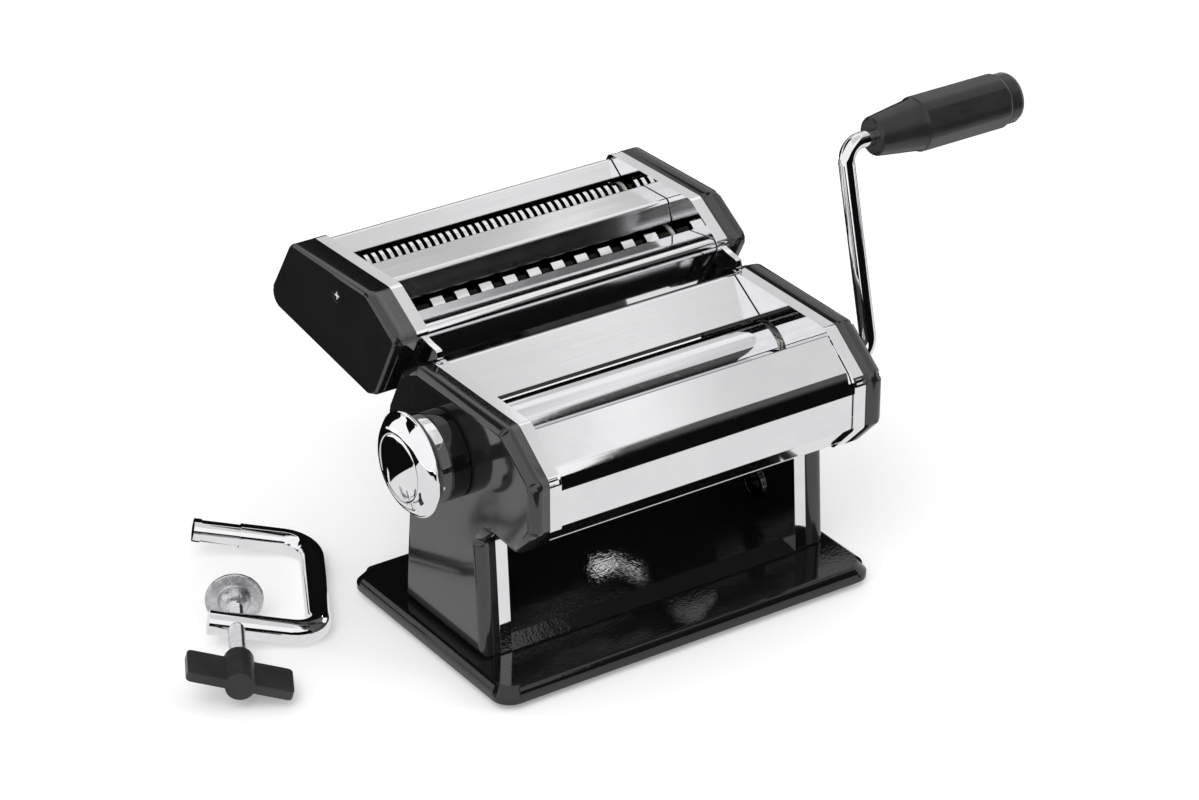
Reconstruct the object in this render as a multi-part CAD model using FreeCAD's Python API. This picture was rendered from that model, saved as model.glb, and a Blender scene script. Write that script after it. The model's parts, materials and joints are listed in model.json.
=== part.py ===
import FreeCAD, Part
import math
import os

# Hand-cranked pasta machine with a clip-on cutter head and a loose table clamp.
# Millimetres. X runs along the rollers (knob at -X, crank at +X), -Y is the front,
# +Z is up. The origin is on the table, under the middle of the base.

V = FreeCAD.Vector
os.makedirs("parts", exist_ok=True)

# ---- fits -----------------------------------------------------------------
running_fit = 0.05          # radial, shaft in a bearing
loose_fit = 0.3             # between pieces that pass each other
slide_fit = 0.1             # a block in its guide

# ---- rollers --------------------------------------------------------------
inner_width = 156.0         # between the two side plates
roller_radius = 14.2
roller_end_gap = 2.0        # roller face to side plate
journal_radius = 7.0
rear_journal_radius = 6.0
thinnest_gap = 0.2          # dough gap at the last knob position
gap_step = 0.325            # dough gap per knob position
step_angle = 36.0
rest_steps = 3              # the knob rests three steps above the thinnest
open_steps = 5              # steps left from rest to the widest gap
axis_height = 104.0
front_axis_y = -39.3

rest_gap = thinnest_gap + gap_step * rest_steps
rear_axis_y = front_axis_y + 2 * roller_radius + rest_gap
front_axis = (front_axis_y, axis_height)
rear_axis = (rear_axis_y, axis_height)
close_travel = gap_step * rest_steps
open_travel = gap_step * open_steps

# ---- side plates ----------------------------------------------------------
plate_sheet = 1.2
flange_width = 6.0
plate_inside = inner_width / 2
plate_outside = plate_inside + plate_sheet
flange_edge = plate_inside + flange_width
base_top = 10.8
top_above_axis = 30.0       # roller axes to the top of the plates
floor_below_axis = 27.0     # roller axes to the underside of the body
body_front = -76.5
front_bend_drop = 17.5      # top to the front bend
front_bend_back = 23.5      # slope of the front cover, measured along Y
skirt_height = 24.0
chin_back = 14.5
chin_rise = 1.0
body_rear = 42.0
hook_ledge_y = 16.5
hook_ledge_drop = 7.0
hook_ledge_run = 13.5
rear_slope_drop = 23.0
rear_wall_height = 14.0
rear_chin_back = 9.0
leg_front_top = -32.5
leg_front_foot = -36.0
leg_rear_top = 25.5
leg_rear_foot = 31.5
leg_arch = 9.0
corner_radius = 3.0
foot_corner = 1.0
bend_radius = 6.0

body_top = axis_height + top_above_axis
body_floor = axis_height - floor_below_axis
body_outline = [
    (hook_ledge_y, body_top),
    (body_front + front_bend_back, body_top),
    (body_front, body_top - front_bend_drop),
    (body_front, body_top - front_bend_drop - skirt_height),
    (body_front + chin_back, body_floor),
    (leg_front_top - leg_arch, body_floor + chin_rise),
    (leg_front_top, body_floor - leg_arch),
    (leg_front_foot, base_top),
    (leg_rear_foot, base_top),
    (leg_rear_top, body_floor - leg_arch),
    (body_rear - rear_chin_back, body_floor),
    (body_rear, body_top - hook_ledge_drop - rear_slope_drop - rear_wall_height),
    (body_rear, body_top - hook_ledge_drop - rear_slope_drop),
    (hook_ledge_y + hook_ledge_run, body_top - hook_ledge_drop),
]
body_radii = [
    corner_radius, bend_radius, bend_radius, corner_radius, corner_radius, leg_arch / 2, leg_arch / 2,
    foot_corner, foot_corner, leg_arch / 2, corner_radius, corner_radius, bend_radius, corner_radius,
]

# ---- covers ---------------------------------------------------------------
cover_depth = 9.2
crank_cover_depth = 10.6     # the cover on the crank side
cover_bevel = 4.0
cover_wall = 2.4
cover_face = flange_edge + cover_depth
crank_cover_face = flange_edge + crank_cover_depth
hub_radius = 8.0
hub_clearance = 1.5
hub_stand_out = 1.3

# ---- base -----------------------------------------------------------------
base_side_margin = 8.4      # base beyond the covers
base_depth = 130.6
base_lip = 3.6              # underside of the rim above the table
base_sheet = 1.5
base_rim = 2.4              # upright part of the rim
base_bevel = 3.8
base_corner = 9.0
plateau_rise = 5.6
plateau_bevel = 5.0
foot_radius = 8.8
foot_inset = 14.4
foot_edge = 0.8

base_width = 2 * (cover_face + base_side_margin)

# ---- sheets ---------------------------------------------------------------
trim_sheet = 0.8
trim_bend = 10.0            # over the front of the body
chin_bend = 2.2             # under the skirt
hem_bend = 1.0
hem_length = 4.0
hopper_lip_rise = 1.0       # plate edge above the rear roller
hopper_lip_reach = 5.2      # behind the rear roller's axis
front_lip_y = -55.5
front_lip_drop = 2.6
bend_setback = 0.7
rim_setback = 1.3           # sheets lie this far inside the plates' outline
ledge_setback = 0.6
rear_bend = 2.0

# ---- tie rods, screws -----------------------------------------------------
tie_radius = 3.0
tie_thread_radius = 2.25
tie_setback = 13.5          # front and rear bars inside the plates' outline
tie_drop = 25.0
low_tie_setback = 20.0
low_tie_rise = 8.0
leg_screw_front = -20.0
leg_screw_rear = 16.0
leg_screw_length = 6.2      # above the base
nut_width = 9.0
nut_height = 4.0
screw_radius = 1.5
screw_head_radius = 3.2
screw_head_height = 1.6
screw_boss_radius = 3.6
cross_width = 1.0
cross_span = 4.0
cross_depth = 0.9
bush_wall = 2.5
bush_lip = 1.0
carrier_side = 3.5
carrier_cap = 3.0
carrier_shelf = 7.5
carrier_toe = 1.5
carrier_drop = 20.0
carrier_stand_out = 2.3
blade_thickness = 1.2
blade_length = 9.0

# ---- gears ----------------------------------------------------------------
gear_width = 5.0
gear_gap = 0.6              # gear to flange edge plane
roller_teeth = 14
pressure_angle = 25.0
tooth_backlash = 0.35
tooth_root_gap = 0.3
flank_steps = 4
roller_addendum = 1.7

# ---- crank ----------------------------------------------------------------
crank_radius = 3.8
crank_bend = 9.0
crank_arm = 98.7
crank_tilt = 13.9           # arm leans to the rear, degrees from upright
crank_plane = 115.0
crank_reach = 20.0          # shaft inside its socket
drive_pin_radius = 1.5
drive_pin_length = 13.0
drive_slot_depth = 4.0
socket_clear = 1.0          # rod's end to the bottom of its socket
grip_start = 130.0
grip_cone = 25.0
grip_body = 47.5
grip_cap = 8.7
grip_small_radius = 9.2
grip_radius = 12.9
grip_flat = 12.35
grip_cap_radius = 12.0
grip_cap_round = 3.4
grip_stub_end = 7.0         # solid grip beyond the rod
grip_edge = 0.8
grip_shoulder = 1.5
grip_end_gap = 0.5

crank_pivot = (front_axis_y, axis_height)
grip_axis = (
    front_axis_y + crank_arm * math.sin(math.radians(crank_tilt)),
    axis_height + crank_arm * math.cos(math.radians(crank_tilt)),
)

# ---- knob -----------------------------------------------------------------
boss_radius = 14.0
boss_stand_out = 4.3
boss_depth = 6.4            # boss inside the cover's face
spindle_radius = 5.0
cam_radius = 9.0
cam_width = 2.6
cam_inset = 1.0             # inside the flange's edge
cam_gap = 0.2
cam_dwell = 20.0            # level stretch past the thinnest position, degrees
follower_width = 3.0
follower_half = 1.5
collar_radius = 20.3
collar_length = 9.8
collar_wall = 5.3
collar_edge = 0.6
knob_gap = 0.4
knob_radius = 24.3
knob_rim = 2.0
knob_neck = 4.8             # flare of the cap, from its rim back
knob_lip = 1.6
knob_dish = 2.0
knob_dome_radius = 15.0
knob_dome_rise = 2.0
knob_length = 20.5
spindle_in_cap = 5.6
end_float = 0.6

# ---- clamp socket in the right leg ---------------------------------------
socket_y = -3.0
socket_z = 32.3
socket_radius = 5.8
socket_wall = 1.3
socket_lip_radius = 8.5
socket_lip = 1.4
socket_edge = 0.5

# ---- cutter head ----------------------------------------------------------
head_bottom = body_top - 28.0
head_front_top = (hook_ledge_y + 11.0, body_top + 8.0)
head_top_front = (hook_ledge_y + 35.0, body_top + 22.3)
head_top_rear = (hook_ledge_y + 101.5, body_top + 20.2)
head_rear = (hook_ledge_y + 120.5, body_top - 10.0)
head_rear_low = (hook_ledge_y + 117.0, body_top - 17.0)
head_front_low = (hook_ledge_y + 29.0, body_top - 25.5)
head_chin = (hook_ledge_y + 36.5, head_bottom)
head_screw = (hook_ledge_y + 60.5, body_top + 11.0)
head_cover_depth = 12.6
head_crank_cover_depth = 10.4
head_bevel = 1.5
cutter_radius = 10.0
cutter_bite = 1.4           # how far the discs of a pair reach into each other
groove_depth = 1.8
disc_side_gap = 0.1
strand_pitch = 4.0
ribbon_pitch = 13.0
cutter_journal = 5.6
cutter_bush_wall = 1.5
cutter_bush_lip = 0.8
strand_nip_y = hook_ledge_y + 82.5
strand_axis_z = body_top + 0.5
ribbon_nip_y = hook_ledge_y + 43.5
ribbon_axis_z = body_top - 6.5
slot_bend = 1.6
nose_bend = 2.2
lip_over_roller = 0.4
slot_lip_rise = 1.7         # plate edges above the cutting rollers
front_slot_rise = 3.2
ridge_rise = 12.0
ridge_foot = 3.7
front_bend_in = 4.4
front_bend_up = 1.9
tail_rise = 2.4
cutter_teeth = 12
cutter_addendum = 1.2
hook_thickness = 3.0
hook_lift = 0.2             # hook above the ledge it rests on
hook_end = 2.0              # hook short of both ends of the ledge
hook_height = 5.0
head_tie_rise = 9.5
head_tie_setback = 8.5
head_tie_end = 1.5
comb_offset = 3.0           # comb strip to the roller's axis, along Y
comb_thickness = 3.2
comb_height = 2.4
comb_gap = 1.5

cutter_spacing = 2 * cutter_radius - cutter_bite
strand_front = (strand_nip_y - cutter_spacing / 2, strand_axis_z)
strand_rear = (strand_nip_y + cutter_spacing / 2, strand_axis_z)
ribbon_front = (ribbon_nip_y - cutter_spacing / 2, ribbon_axis_z)
ribbon_rear = (ribbon_nip_y + cutter_spacing / 2, ribbon_axis_z)
head_outline = [
    head_top_rear, head_top_front, head_front_top, head_front_low, head_chin,
    head_rear_low, head_rear,
]
head_radii = [4.0, 7.0, 4.0, 3.0, 2.0, 4.0, 5.0]
head_crank_face = flange_edge + head_crank_cover_depth

# ---- clamp ----------------------------------------------------------------
clamp_rod_radius = 5.7
clamp_tip_radius = 5.0
clamp_tip_collar = 5.5
clamp_tip_length = 21.8
clamp_reach = 38.0          # screw axis to the back of the frame
clamp_height = 81.8         # arm to arm
clamp_bend = 13.0
clamp_tip_overhang = 17.2
clamp_foot_overhang = 12.6
clamp_arm_to_pad = 23.6
clamp_screw_radius = 4.0
pad_radius = 13.4
pad_thickness = 2.0
pad_dome_radius = 7.2
pad_dome_top = 5.4
pad_dome_height = 5.0
pad_socket = 4.0
neck_radius = 2.6
thread_in_hub = 12.0
tip_collar_length = 3.5
wing_corner = 2.5
wing_span = 48.0
wing_depth = 20.0
wing_thickness = 4.5
wing_turn = 5.0             # as it lies, degrees off the plane of the frame
wing_hub_radius = 6.8
wing_hub_length = 23.0
clamp_screw_length = 52.8   # pad to the hub of the wings
clamp_place = (-160.0, 68.5)
clamp_heading = 27.5        # the jaw axis, degrees off +Y towards +X


# ---- helpers --------------------------------------------------------------
def turn_sign(points):
    area = 0.0
    for i in range(len(points)):
        y1, z1 = points[i]
        y2, z2 = points[(i + 1) % len(points)]
        area += y1 * z2 - y2 * z1
    return 1.0 if area > 0 else -1.0


def unit(a, b):
    dy = b[0] - a[0]
    dz = b[1] - a[1]
    size = math.hypot(dy, dz)
    return dy / size, dz / size


def inset(points, distance):
    """Moves every side of a closed outline inwards by the distance."""
    sign = turn_sign(points)
    result = []
    for i in range(len(points)):
        before = unit(points[i - 1], points[i])
        after = unit(points[i], points[(i + 1) % len(points)])
        n1 = (-before[1] * sign, before[0] * sign)
        n2 = (-after[1] * sign, after[0] * sign)
        scale = distance / (1 + n1[0] * n2[0] + n1[1] * n2[1])
        result.append((points[i][0] + (n1[0] + n2[0]) * scale, points[i][1] + (n1[1] + n2[1]) * scale))
    return result


def inset_radii(points, radii, distance):
    sign = turn_sign(points)
    result = []
    for i in range(len(points)):
        before = unit(points[i - 1], points[i])
        after = unit(points[i], points[(i + 1) % len(points)])
        convex = (before[0] * after[1] - before[1] * after[0]) * sign > 0
        radius = radii[i] - distance if convex else radii[i] + distance
        result.append(max(radius, 0.4))
    return result


def rounded_wire(points, radii, x):
    """A closed wire in the plane at x, each corner rounded with its own radius."""
    corners = []
    for i in range(len(points)):
        here = points[i]
        back = unit(here, points[i - 1])
        ahead = unit(here, points[(i + 1) % len(points)])
        cosine = back[0] * ahead[0] + back[1] * ahead[1]
        half = math.acos(max(-1.0, min(1.0, cosine))) / 2
        if radii[i] <= 0 or half > math.radians(89.5):
            corners.append((here, None, here))
            continue
        reach = radii[i] / math.tan(half)
        bisector = (back[0] + ahead[0], back[1] + ahead[1])
        size = math.hypot(bisector[0], bisector[1])
        off = radii[i] / math.sin(half) - radii[i]
        start = (here[0] + back[0] * reach, here[1] + back[1] * reach)
        middle = (here[0] + bisector[0] / size * off, here[1] + bisector[1] / size * off)
        end = (here[0] + ahead[0] * reach, here[1] + ahead[1] * reach)
        corners.append((start, middle, end))
    edges = []
    for i in range(len(corners)):
        start, middle, end = corners[i]
        following = corners[(i + 1) % len(corners)][0]
        if middle is not None:
            arc = Part.Arc(V(x, start[0], start[1]), V(x, middle[0], middle[1]), V(x, end[0], end[1]))
            edges.append(arc.toShape())
        edges.append(Part.makeLine(V(x, end[0], end[1]), V(x, following[0], following[1])))
    return Part.Wire(edges)


def prism(points, x_from, x_to, radii=None):
    if radii is None:
        radii = [0] * len(points)
    return Part.Face(rounded_wire(points, radii, x_from)).extrude(V(x_to - x_from, 0, 0))


def rod(x_from, x_to, centre, radius):
    low = min(x_from, x_to)
    return Part.makeCylinder(radius, abs(x_to - x_from), V(low, centre[0], centre[1]), V(1, 0, 0))


def block(x_from, x_to, y_from, y_to, z_from, z_to):
    return Part.makeBox(x_to - x_from, y_to - y_from, z_to - z_from, V(x_from, y_from, z_from))


def spin(profile, centre):
    """Turns an (x, radius) profile about the X line through the centre."""
    corners = [V(x, centre[0], centre[1] + radius) for x, radius in profile]
    face = Part.Face(Part.makePolygon(corners + corners[:1]))
    return face.revolve(V(0, centre[0], centre[1]), V(1, 0, 0), 360)


def sheet(path, thickness, side, bends, x_from, x_to):
    """A bent sheet: the path is one skin, the other lies the thickness to its side."""
    inner = []
    radii_path = []
    radii_inner = []
    for i in range(len(path)):
        if i == 0:
            along = unit(path[0], path[1])
            inner.append((path[0][0] - along[1] * thickness * side, path[0][1] + along[0] * thickness * side))
            radii_path.append(0)
            radii_inner.append(0)
        elif i == len(path) - 1:
            along = unit(path[i - 1], path[i])
            inner.append((path[i][0] - along[1] * thickness * side, path[i][1] + along[0] * thickness * side))
            radii_path.append(0)
            radii_inner.append(0)
        else:
            before = unit(path[i - 1], path[i])
            after = unit(path[i], path[i + 1])
            n1 = (-before[1] * side, before[0] * side)
            n2 = (-after[1] * side, after[0] * side)
            scale = thickness / (1 + n1[0] * n2[0] + n1[1] * n2[1])
            inner.append((path[i][0] + (n1[0] + n2[0]) * scale, path[i][1] + (n1[1] + n2[1]) * scale))
            turned_in = (before[0] * after[1] - before[1] * after[0]) * side > 0
            bend = bends[i - 1]
            radii_path.append(bend + thickness if turned_in else bend)
            radii_inner.append(bend if turned_in else bend + thickness)
    points = path + inner[::-1]
    return prism(points, x_from, x_to, radii_path + radii_inner[::-1])


def mirrored(shape):
    return shape.mirror(V(0, 0, 0), V(1, 0, 0))


def save(name, *solids):
    shape = solids[0] if len(solids) == 1 else Part.makeCompound(list(solids))
    for solid in solids:
        if not solid.isValid():
            print("not valid:", name)
    print(name, len(shape.Solids), round(shape.Volume, 1))
    shape.exportStep("parts/" + name + ".step")


def gear(centre, teeth, spacing, addendum, x_from, x_to, phase):
    """Involute spur gear for a pair that runs at the given axis spacing."""
    pitch = spacing / 2
    tip = pitch + addendum
    root = spacing - tip - tooth_root_gap
    base = pitch * math.cos(math.radians(pressure_angle))
    half_tooth = (math.pi * pitch / teeth - tooth_backlash / 2) / 2 / pitch
    at_pitch = math.tan(math.radians(pressure_angle)) - math.radians(pressure_angle)
    points = []
    for tooth in range(teeth):
        middle = phase + 2 * math.pi * tooth / teeth
        flank = []
        for step in range(flank_steps + 1):
            radius = max(base, root) + (tip - max(base, root)) * step / flank_steps
            angle = math.acos(min(1.0, base / radius))
            flank.append((radius, half_tooth + at_pitch - (math.tan(angle) - angle)))
        if root < base:
            flank.insert(0, (root, flank[0][1]))
        for radius, spread in flank:
            points.append((radius, middle - spread))
        for radius, spread in flank[::-1]:
            points.append((radius, middle + spread))
    outline = [(centre[0] + r * math.cos(a), centre[1] + r * math.sin(a)) for r, a in points]
    return prism(outline, x_from, x_to)


def flanged_plate(outline, radii):
    """Right-hand side plate: a web with its rim turned outwards."""
    web = prism(outline, plate_inside, plate_outside, radii)
    rim = prism(outline, plate_inside, flange_edge, radii)
    hollow = prism(
        inset(outline, plate_sheet), plate_inside - 1, flange_edge + 1,
        inset_radii(outline, radii, plate_sheet),
    )
    return web.fuse(rim.cut(hollow)).removeSplitter()


def cover_shell(outline, radii, depth, bevel):
    """Right-hand cover: a tub with bevelled edges, open towards the side plate."""
    face_x = flange_edge + depth
    skins = []
    for start, extra in ((0, 0.0), (1, cover_wall)):
        mouth = flange_edge - start
        wall_outline = inset(outline, extra) if extra else outline
        wall_radii = inset_radii(outline, radii, extra) if extra else radii
        face_outline = inset(outline, extra + bevel)
        face_radii = inset_radii(outline, radii, extra + bevel)
        skins.append(Part.makeLoft([
            rounded_wire(wall_outline, wall_radii, mouth),
            rounded_wire(wall_outline, wall_radii, face_x - extra - bevel),
            rounded_wire(face_outline, face_radii, face_x - extra),
        ], True, True))
    return skins[0].cut(skins[1])


# ---- base -----------------------------------------------------------------
def slab(width, depth, corner, z):
    half_w = width / 2
    half_d = depth / 2
    corners = [(-half_w, -half_d), (half_w, -half_d), (half_w, half_d), (-half_w, half_d)]
    wire = rounded_wire(corners, [corner] * 4, 0)
    wire.rotate(V(0, 0, 0), V(1, 1, 1), -120)
    wire.translate(V(0, 0, z))
    return wire


def pan(shrink, drop):
    """The pressed shape of the base, made smaller by shrink and lower by drop."""
    low = slab(base_width - 2 * shrink, base_depth - 2 * shrink, base_corner - shrink, base_lip - drop)
    rim = slab(base_width - 2 * shrink, base_depth - 2 * shrink, base_corner - shrink, base_lip + base_rim)
    top = slab(
        base_width - 2 * shrink - 2 * base_bevel, base_depth - 2 * shrink - 2 * base_bevel,
        base_corner - shrink - base_bevel / 2, base_top - drop,
    )
    tray = Part.makeLoft([low, rim, top], True, True)
    rise = base_top + plateau_rise - drop
    front = leg_front_foot + shrink
    rear = leg_rear_foot + plateau_bevel - shrink
    step = prism([
        (front, base_top - drop - 1), (front, base_top - drop), (front + plateau_bevel, rise),
        (rear - plateau_bevel, rise), (rear, base_top - drop), (rear, base_top - drop - 1),
    ], -plate_inside + shrink, plate_inside - shrink)
    return tray.fuse(step)


def plain_pan():
    return pan(0, 0).cut(pan(base_sheet, base_sheet))


leg_screw_x = (plate_outside + flange_edge) / 2
leg_screw_places = [(side * leg_screw_x, y) for side in (-1, 1) for y in (leg_screw_front, leg_screw_rear)]
base_plate = plain_pan()
for x, y in leg_screw_places:
    base_plate = base_plate.cut(Part.makeCylinder(screw_radius, 20, V(x, y, 0)))
save("base_plate", base_plate)

foot_x = base_width / 2 - foot_inset
foot_y = base_depth / 2 - foot_inset
feet = []
for x in (-foot_x, foot_x):
    for y in (-foot_y, foot_y):
        foot = Part.makeCylinder(foot_radius, base_top - base_sheet, V(x, y, 0))
        feet.append(foot.makeFillet(foot_edge, [foot.Edges[2]]))
save("rubber_feet", *feet)

leg_screws = []
for x, y in leg_screw_places:
    head_top = base_top - base_sheet
    head = Part.makeCylinder(screw_head_radius, screw_head_height, V(x, y, head_top - screw_head_height))
    shank = Part.makeCylinder(screw_radius, base_sheet + leg_screw_length, V(x, y, head_top))
    leg_screws.append(head.fuse(shank))
save("leg_screws", *leg_screws)

# ---- side plates ----------------------------------------------------------
front_bush_radius = journal_radius + running_fit + bush_wall
carrier_half_y = rear_journal_radius + running_fit + carrier_side
carrier_half_z = rear_journal_radius + running_fit + carrier_cap
scraper_reach = roller_radius + loose_fit + blade_length + tie_radius
tie_places = [
    (body_front + tie_setback, body_top - tie_drop),
    (front_axis_y - scraper_reach * math.sqrt(0.5), axis_height - scraper_reach * math.sqrt(0.5)),
    (body_rear - tie_setback, body_top - tie_drop),
    (body_rear - low_tie_setback, body_floor + low_tie_rise),
]
plate = flanged_plate(body_outline, body_radii)
plate = plate.cut(rod(plate_inside - 1, flange_edge, front_axis, front_bush_radius))
plate = plate.cut(block(
    plate_inside - 1, plate_outside + 1,
    rear_axis_y - carrier_half_y - close_travel - loose_fit,
    rear_axis_y + carrier_half_y + open_travel + loose_fit,
    axis_height - carrier_half_z - slide_fit, axis_height + carrier_half_z + slide_fit,
))
for place in tie_places:
    plate = plate.cut(rod(plate_inside - 1, plate_outside + 1, place, tie_thread_radius))
notch = rod(plate_outside, flange_edge + 1, (body_front, body_top - front_bend_drop), 1.8)
plate = plate.cut(notch)
left_plate = mirrored(plate)
socket_centre = (socket_y, socket_z)
sleeve_hole = rod(plate_inside - 1, crank_cover_face + 1, socket_centre, socket_radius + socket_wall)
right_plate = plate.cut(sleeve_hole)
for x, y in leg_screw_places:
    hole = Part.makeCylinder(screw_radius, 20, V(x, y, base_top - 5))
    left_plate = left_plate.cut(hole)
    right_plate = right_plate.cut(hole)
save("left_side_plate", left_plate)
save("right_side_plate", right_plate)

# ---- main covers ----------------------------------------------------------
right_cover = cover_shell(body_outline, body_radii, crank_cover_depth, cover_bevel)
right_cover = right_cover.cut(rod(flange_edge, crank_cover_face + 1, front_axis, hub_radius + hub_clearance))
right_cover = right_cover.cut(sleeve_hole)
left_cover = mirrored(cover_shell(body_outline, body_radii, cover_depth, cover_bevel))
left_cover = left_cover.cut(rod(-cover_face - 1, -flange_edge, rear_axis, boss_radius))
save("left_cover", left_cover)
save("right_cover", right_cover)

# ---- sheets of the main body ---------------------------------------------
skirt_foot = body_top - front_bend_drop - skirt_height
chin_along = unit((body_front, skirt_foot), (body_front + chin_back, body_floor))
chin_shift = rim_setback * (1 + chin_along[1]) / chin_along[0]
hem_shift = rim_setback * (1 - chin_along[0]) / -chin_along[1]
hem_y = body_front + chin_back + hem_shift
front_path = [
    (front_lip_y, body_top - front_lip_drop),
    (body_front + rim_setback, body_top - front_bend_drop - bend_setback),
    (body_front + rim_setback, skirt_foot + chin_shift),
    (hem_y, body_floor + rim_setback),
    (hem_y + hem_length, body_floor + rim_setback),
]
front_bends = [trim_bend, chin_bend, hem_bend]
front_sheet = sheet(front_path, trim_sheet, 1, front_bends, -plate_inside, plate_inside)
save("front_cover_sheet", front_sheet)

lip_y = rear_axis_y + hopper_lip_reach
lip_z = axis_height + roller_radius + hopper_lip_rise + trim_sheet
slope_low = body_top - hook_ledge_drop - rear_slope_drop
rear_path = [
    (lip_y, lip_z),
    (hook_ledge_y - ledge_setback, body_top - rim_setback),
    (hook_ledge_y + hook_ledge_run - rim_setback, body_top - hook_ledge_drop - rim_setback),
    (body_rear - rim_setback, slope_low - bend_setback),
    (body_rear - rim_setback, slope_low - rear_wall_height),
]
rear_sheet = sheet(rear_path, trim_sheet, -1, [rear_bend] * 3, -plate_inside, plate_inside)
save("rear_hopper_sheet", rear_sheet)

ties = []
nuts = []
for place in tie_places:
    bar = rod(-plate_inside, plate_inside, place, tie_radius)
    thread = rod(-plate_outside - nut_height, plate_outside + nut_height, place, tie_thread_radius)
    ties.append(bar.fuse(thread))
    for side in (-1, 1):
        hexagon = [
            (place[0] + nut_width / 2 / math.cos(math.pi / 6) * math.cos(math.pi / 3 * k),
             place[1] + nut_width / 2 / math.cos(math.pi / 6) * math.sin(math.pi / 3 * k))
            for k in range(6)
        ]
        nut = prism(hexagon, plate_outside, plate_outside + nut_height)
        nut = nut.cut(rod(plate_inside, flange_edge, place, tie_thread_radius))
        nuts.append(nut if side > 0 else mirrored(nut))
save("tie_rods", *ties)
save("tie_rod_nuts", *nuts)

# ---- rollers --------------------------------------------------------------
roller_end = plate_inside - roller_end_gap
gear_from = flange_edge + gear_gap
gear_to = gear_from + gear_width
hub_end = crank_cover_face + hub_stand_out


def drive_socket(shape, centre, mouth):
    """Bores the crank socket and cuts the slot for the crank's cross pin."""
    bored = shape.cut(rod(mouth - crank_reach, mouth + 1, centre, crank_radius + running_fit))
    slot_half = drive_pin_radius + slide_fit
    return bored.cut(block(
        mouth - drive_slot_depth, mouth + 1, centre[0] - slot_half, centre[0] + slot_half,
        centre[1] - hub_radius - 1, centre[1] + hub_radius + 1,
    ))


front_roller = rod(-roller_end, roller_end, front_axis, roller_radius)
front_roller = front_roller.fuse(rod(-plate_outside - bush_lip - 1, gear_from, front_axis, journal_radius))
front_roller = front_roller.fuse(rod(gear_to, hub_end, front_axis, hub_radius))
front_roller = front_roller.fuse(rod(gear_from, gear_to, front_axis, journal_radius))
front_roller = drive_socket(front_roller.removeSplitter(), front_axis, hub_end)
save("front_roller", front_roller)

closest = 2 * roller_radius + thinnest_gap
drive_gear = gear(front_axis, roller_teeth, closest, roller_addendum, gear_from, gear_to, 0)
save("front_roller_gear", drive_gear.cut(rod(gear_from - 1, gear_to + 1, front_axis, journal_radius)))

rear_roller = rod(-roller_end, roller_end, rear_axis, roller_radius)
rear_roller = rear_roller.fuse(rod(-plate_outside - 2.5, gear_to, rear_axis, rear_journal_radius))
save("rear_roller", rear_roller)
half_tooth_turn = math.pi / roller_teeth
follow_gear = gear(rear_axis, roller_teeth, closest, roller_addendum, gear_from, gear_to, half_tooth_turn)
save("rear_roller_gear", follow_gear.cut(rod(gear_from - 1, gear_to + 1, rear_axis, rear_journal_radius)))

bush_bore = journal_radius + running_fit
bushes = []
for side in (-1, 1):
    bush = spin([
        (plate_inside - bush_lip, bush_bore), (plate_inside - bush_lip, front_bush_radius + bush_lip),
        (plate_inside, front_bush_radius + bush_lip), (plate_inside, front_bush_radius),
        (plate_outside + bush_lip, front_bush_radius), (plate_outside + bush_lip, bush_bore),
    ], front_axis)
    bushes.append(bush if side > 0 else mirrored(bush))
save("front_roller_bushes", *bushes)

# ---- rear roller carriers and scrapers ------------------------------------
carrier_plate_in = roller_end + loose_fit
carrier_plate_out = plate_inside - loose_fit
carrier_out = plate_outside + carrier_stand_out
carrier = block(
    carrier_plate_out, carrier_out,
    rear_axis_y - carrier_half_y, rear_axis_y + carrier_half_y,
    axis_height - carrier_half_z, axis_height + carrier_half_z,
)
carrier = carrier.fuse(block(
    carrier_plate_in, carrier_plate_out,
    rear_axis_y - carrier_half_y - carrier_toe, rear_axis_y + carrier_half_y + carrier_shelf,
    axis_height - carrier_drop, axis_height + carrier_half_z,
))
carrier = carrier.cut(rod(roller_end, flange_edge, rear_axis, rear_journal_radius + running_fit))
cam_from = flange_edge - cam_inset
cam_to = cam_from + cam_width
follower_near = rear_axis_y + cam_radius + cam_gap
follower = block(
    -cam_to + loose_fit, -carrier_out, follower_near, follower_near + follower_width,
    axis_height - follower_half, axis_height + follower_half,
)
follower_root = block(
    -carrier_out, -plate_outside - loose_fit, rear_axis_y + carrier_half_y - follower_half,
    follower_near + follower_width, axis_height - follower_half, axis_height + follower_half,
)
left_carrier = mirrored(carrier).fuse(follower).fuse(follower_root)
save("roller_carriers", left_carrier.removeSplitter(), carrier.removeSplitter())


def scraper(axis, direction, x_from, x_to):
    """A blade that points at the roller from below and stops just short of it."""
    out = (math.cos(math.radians(direction)), math.sin(math.radians(direction)))
    across = (-out[1], out[0])
    near = roller_radius + loose_fit
    far = near + blade_length
    half = blade_thickness / 2
    return prism([
        (axis[0] + out[0] * near + across[0] * half, axis[1] + out[1] * near + across[1] * half),
        (axis[0] + out[0] * far + across[0] * half, axis[1] + out[1] * far + across[1] * half),
        (axis[0] + out[0] * far - across[0] * half, axis[1] + out[1] * far - across[1] * half),
        (axis[0] + out[0] * near - across[0] * half, axis[1] + out[1] * near - across[1] * half),
    ], x_from, x_to)


save("front_scraper", scraper(front_axis, 225, -plate_inside, plate_inside))
save("rear_scraper", scraper(rear_axis, 315, -carrier_plate_in, carrier_plate_in))

# ---- thickness regulator --------------------------------------------------
boss_in = cover_face - boss_depth
boss_out = cover_face + boss_stand_out
boss = rod(-boss_out, -boss_in, rear_axis, boss_radius)
boss = boss.cut(rod(-boss_out - 1, -boss_in + 1, rear_axis, spindle_radius + running_fit))
save("regulator_boss", boss)

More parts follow.
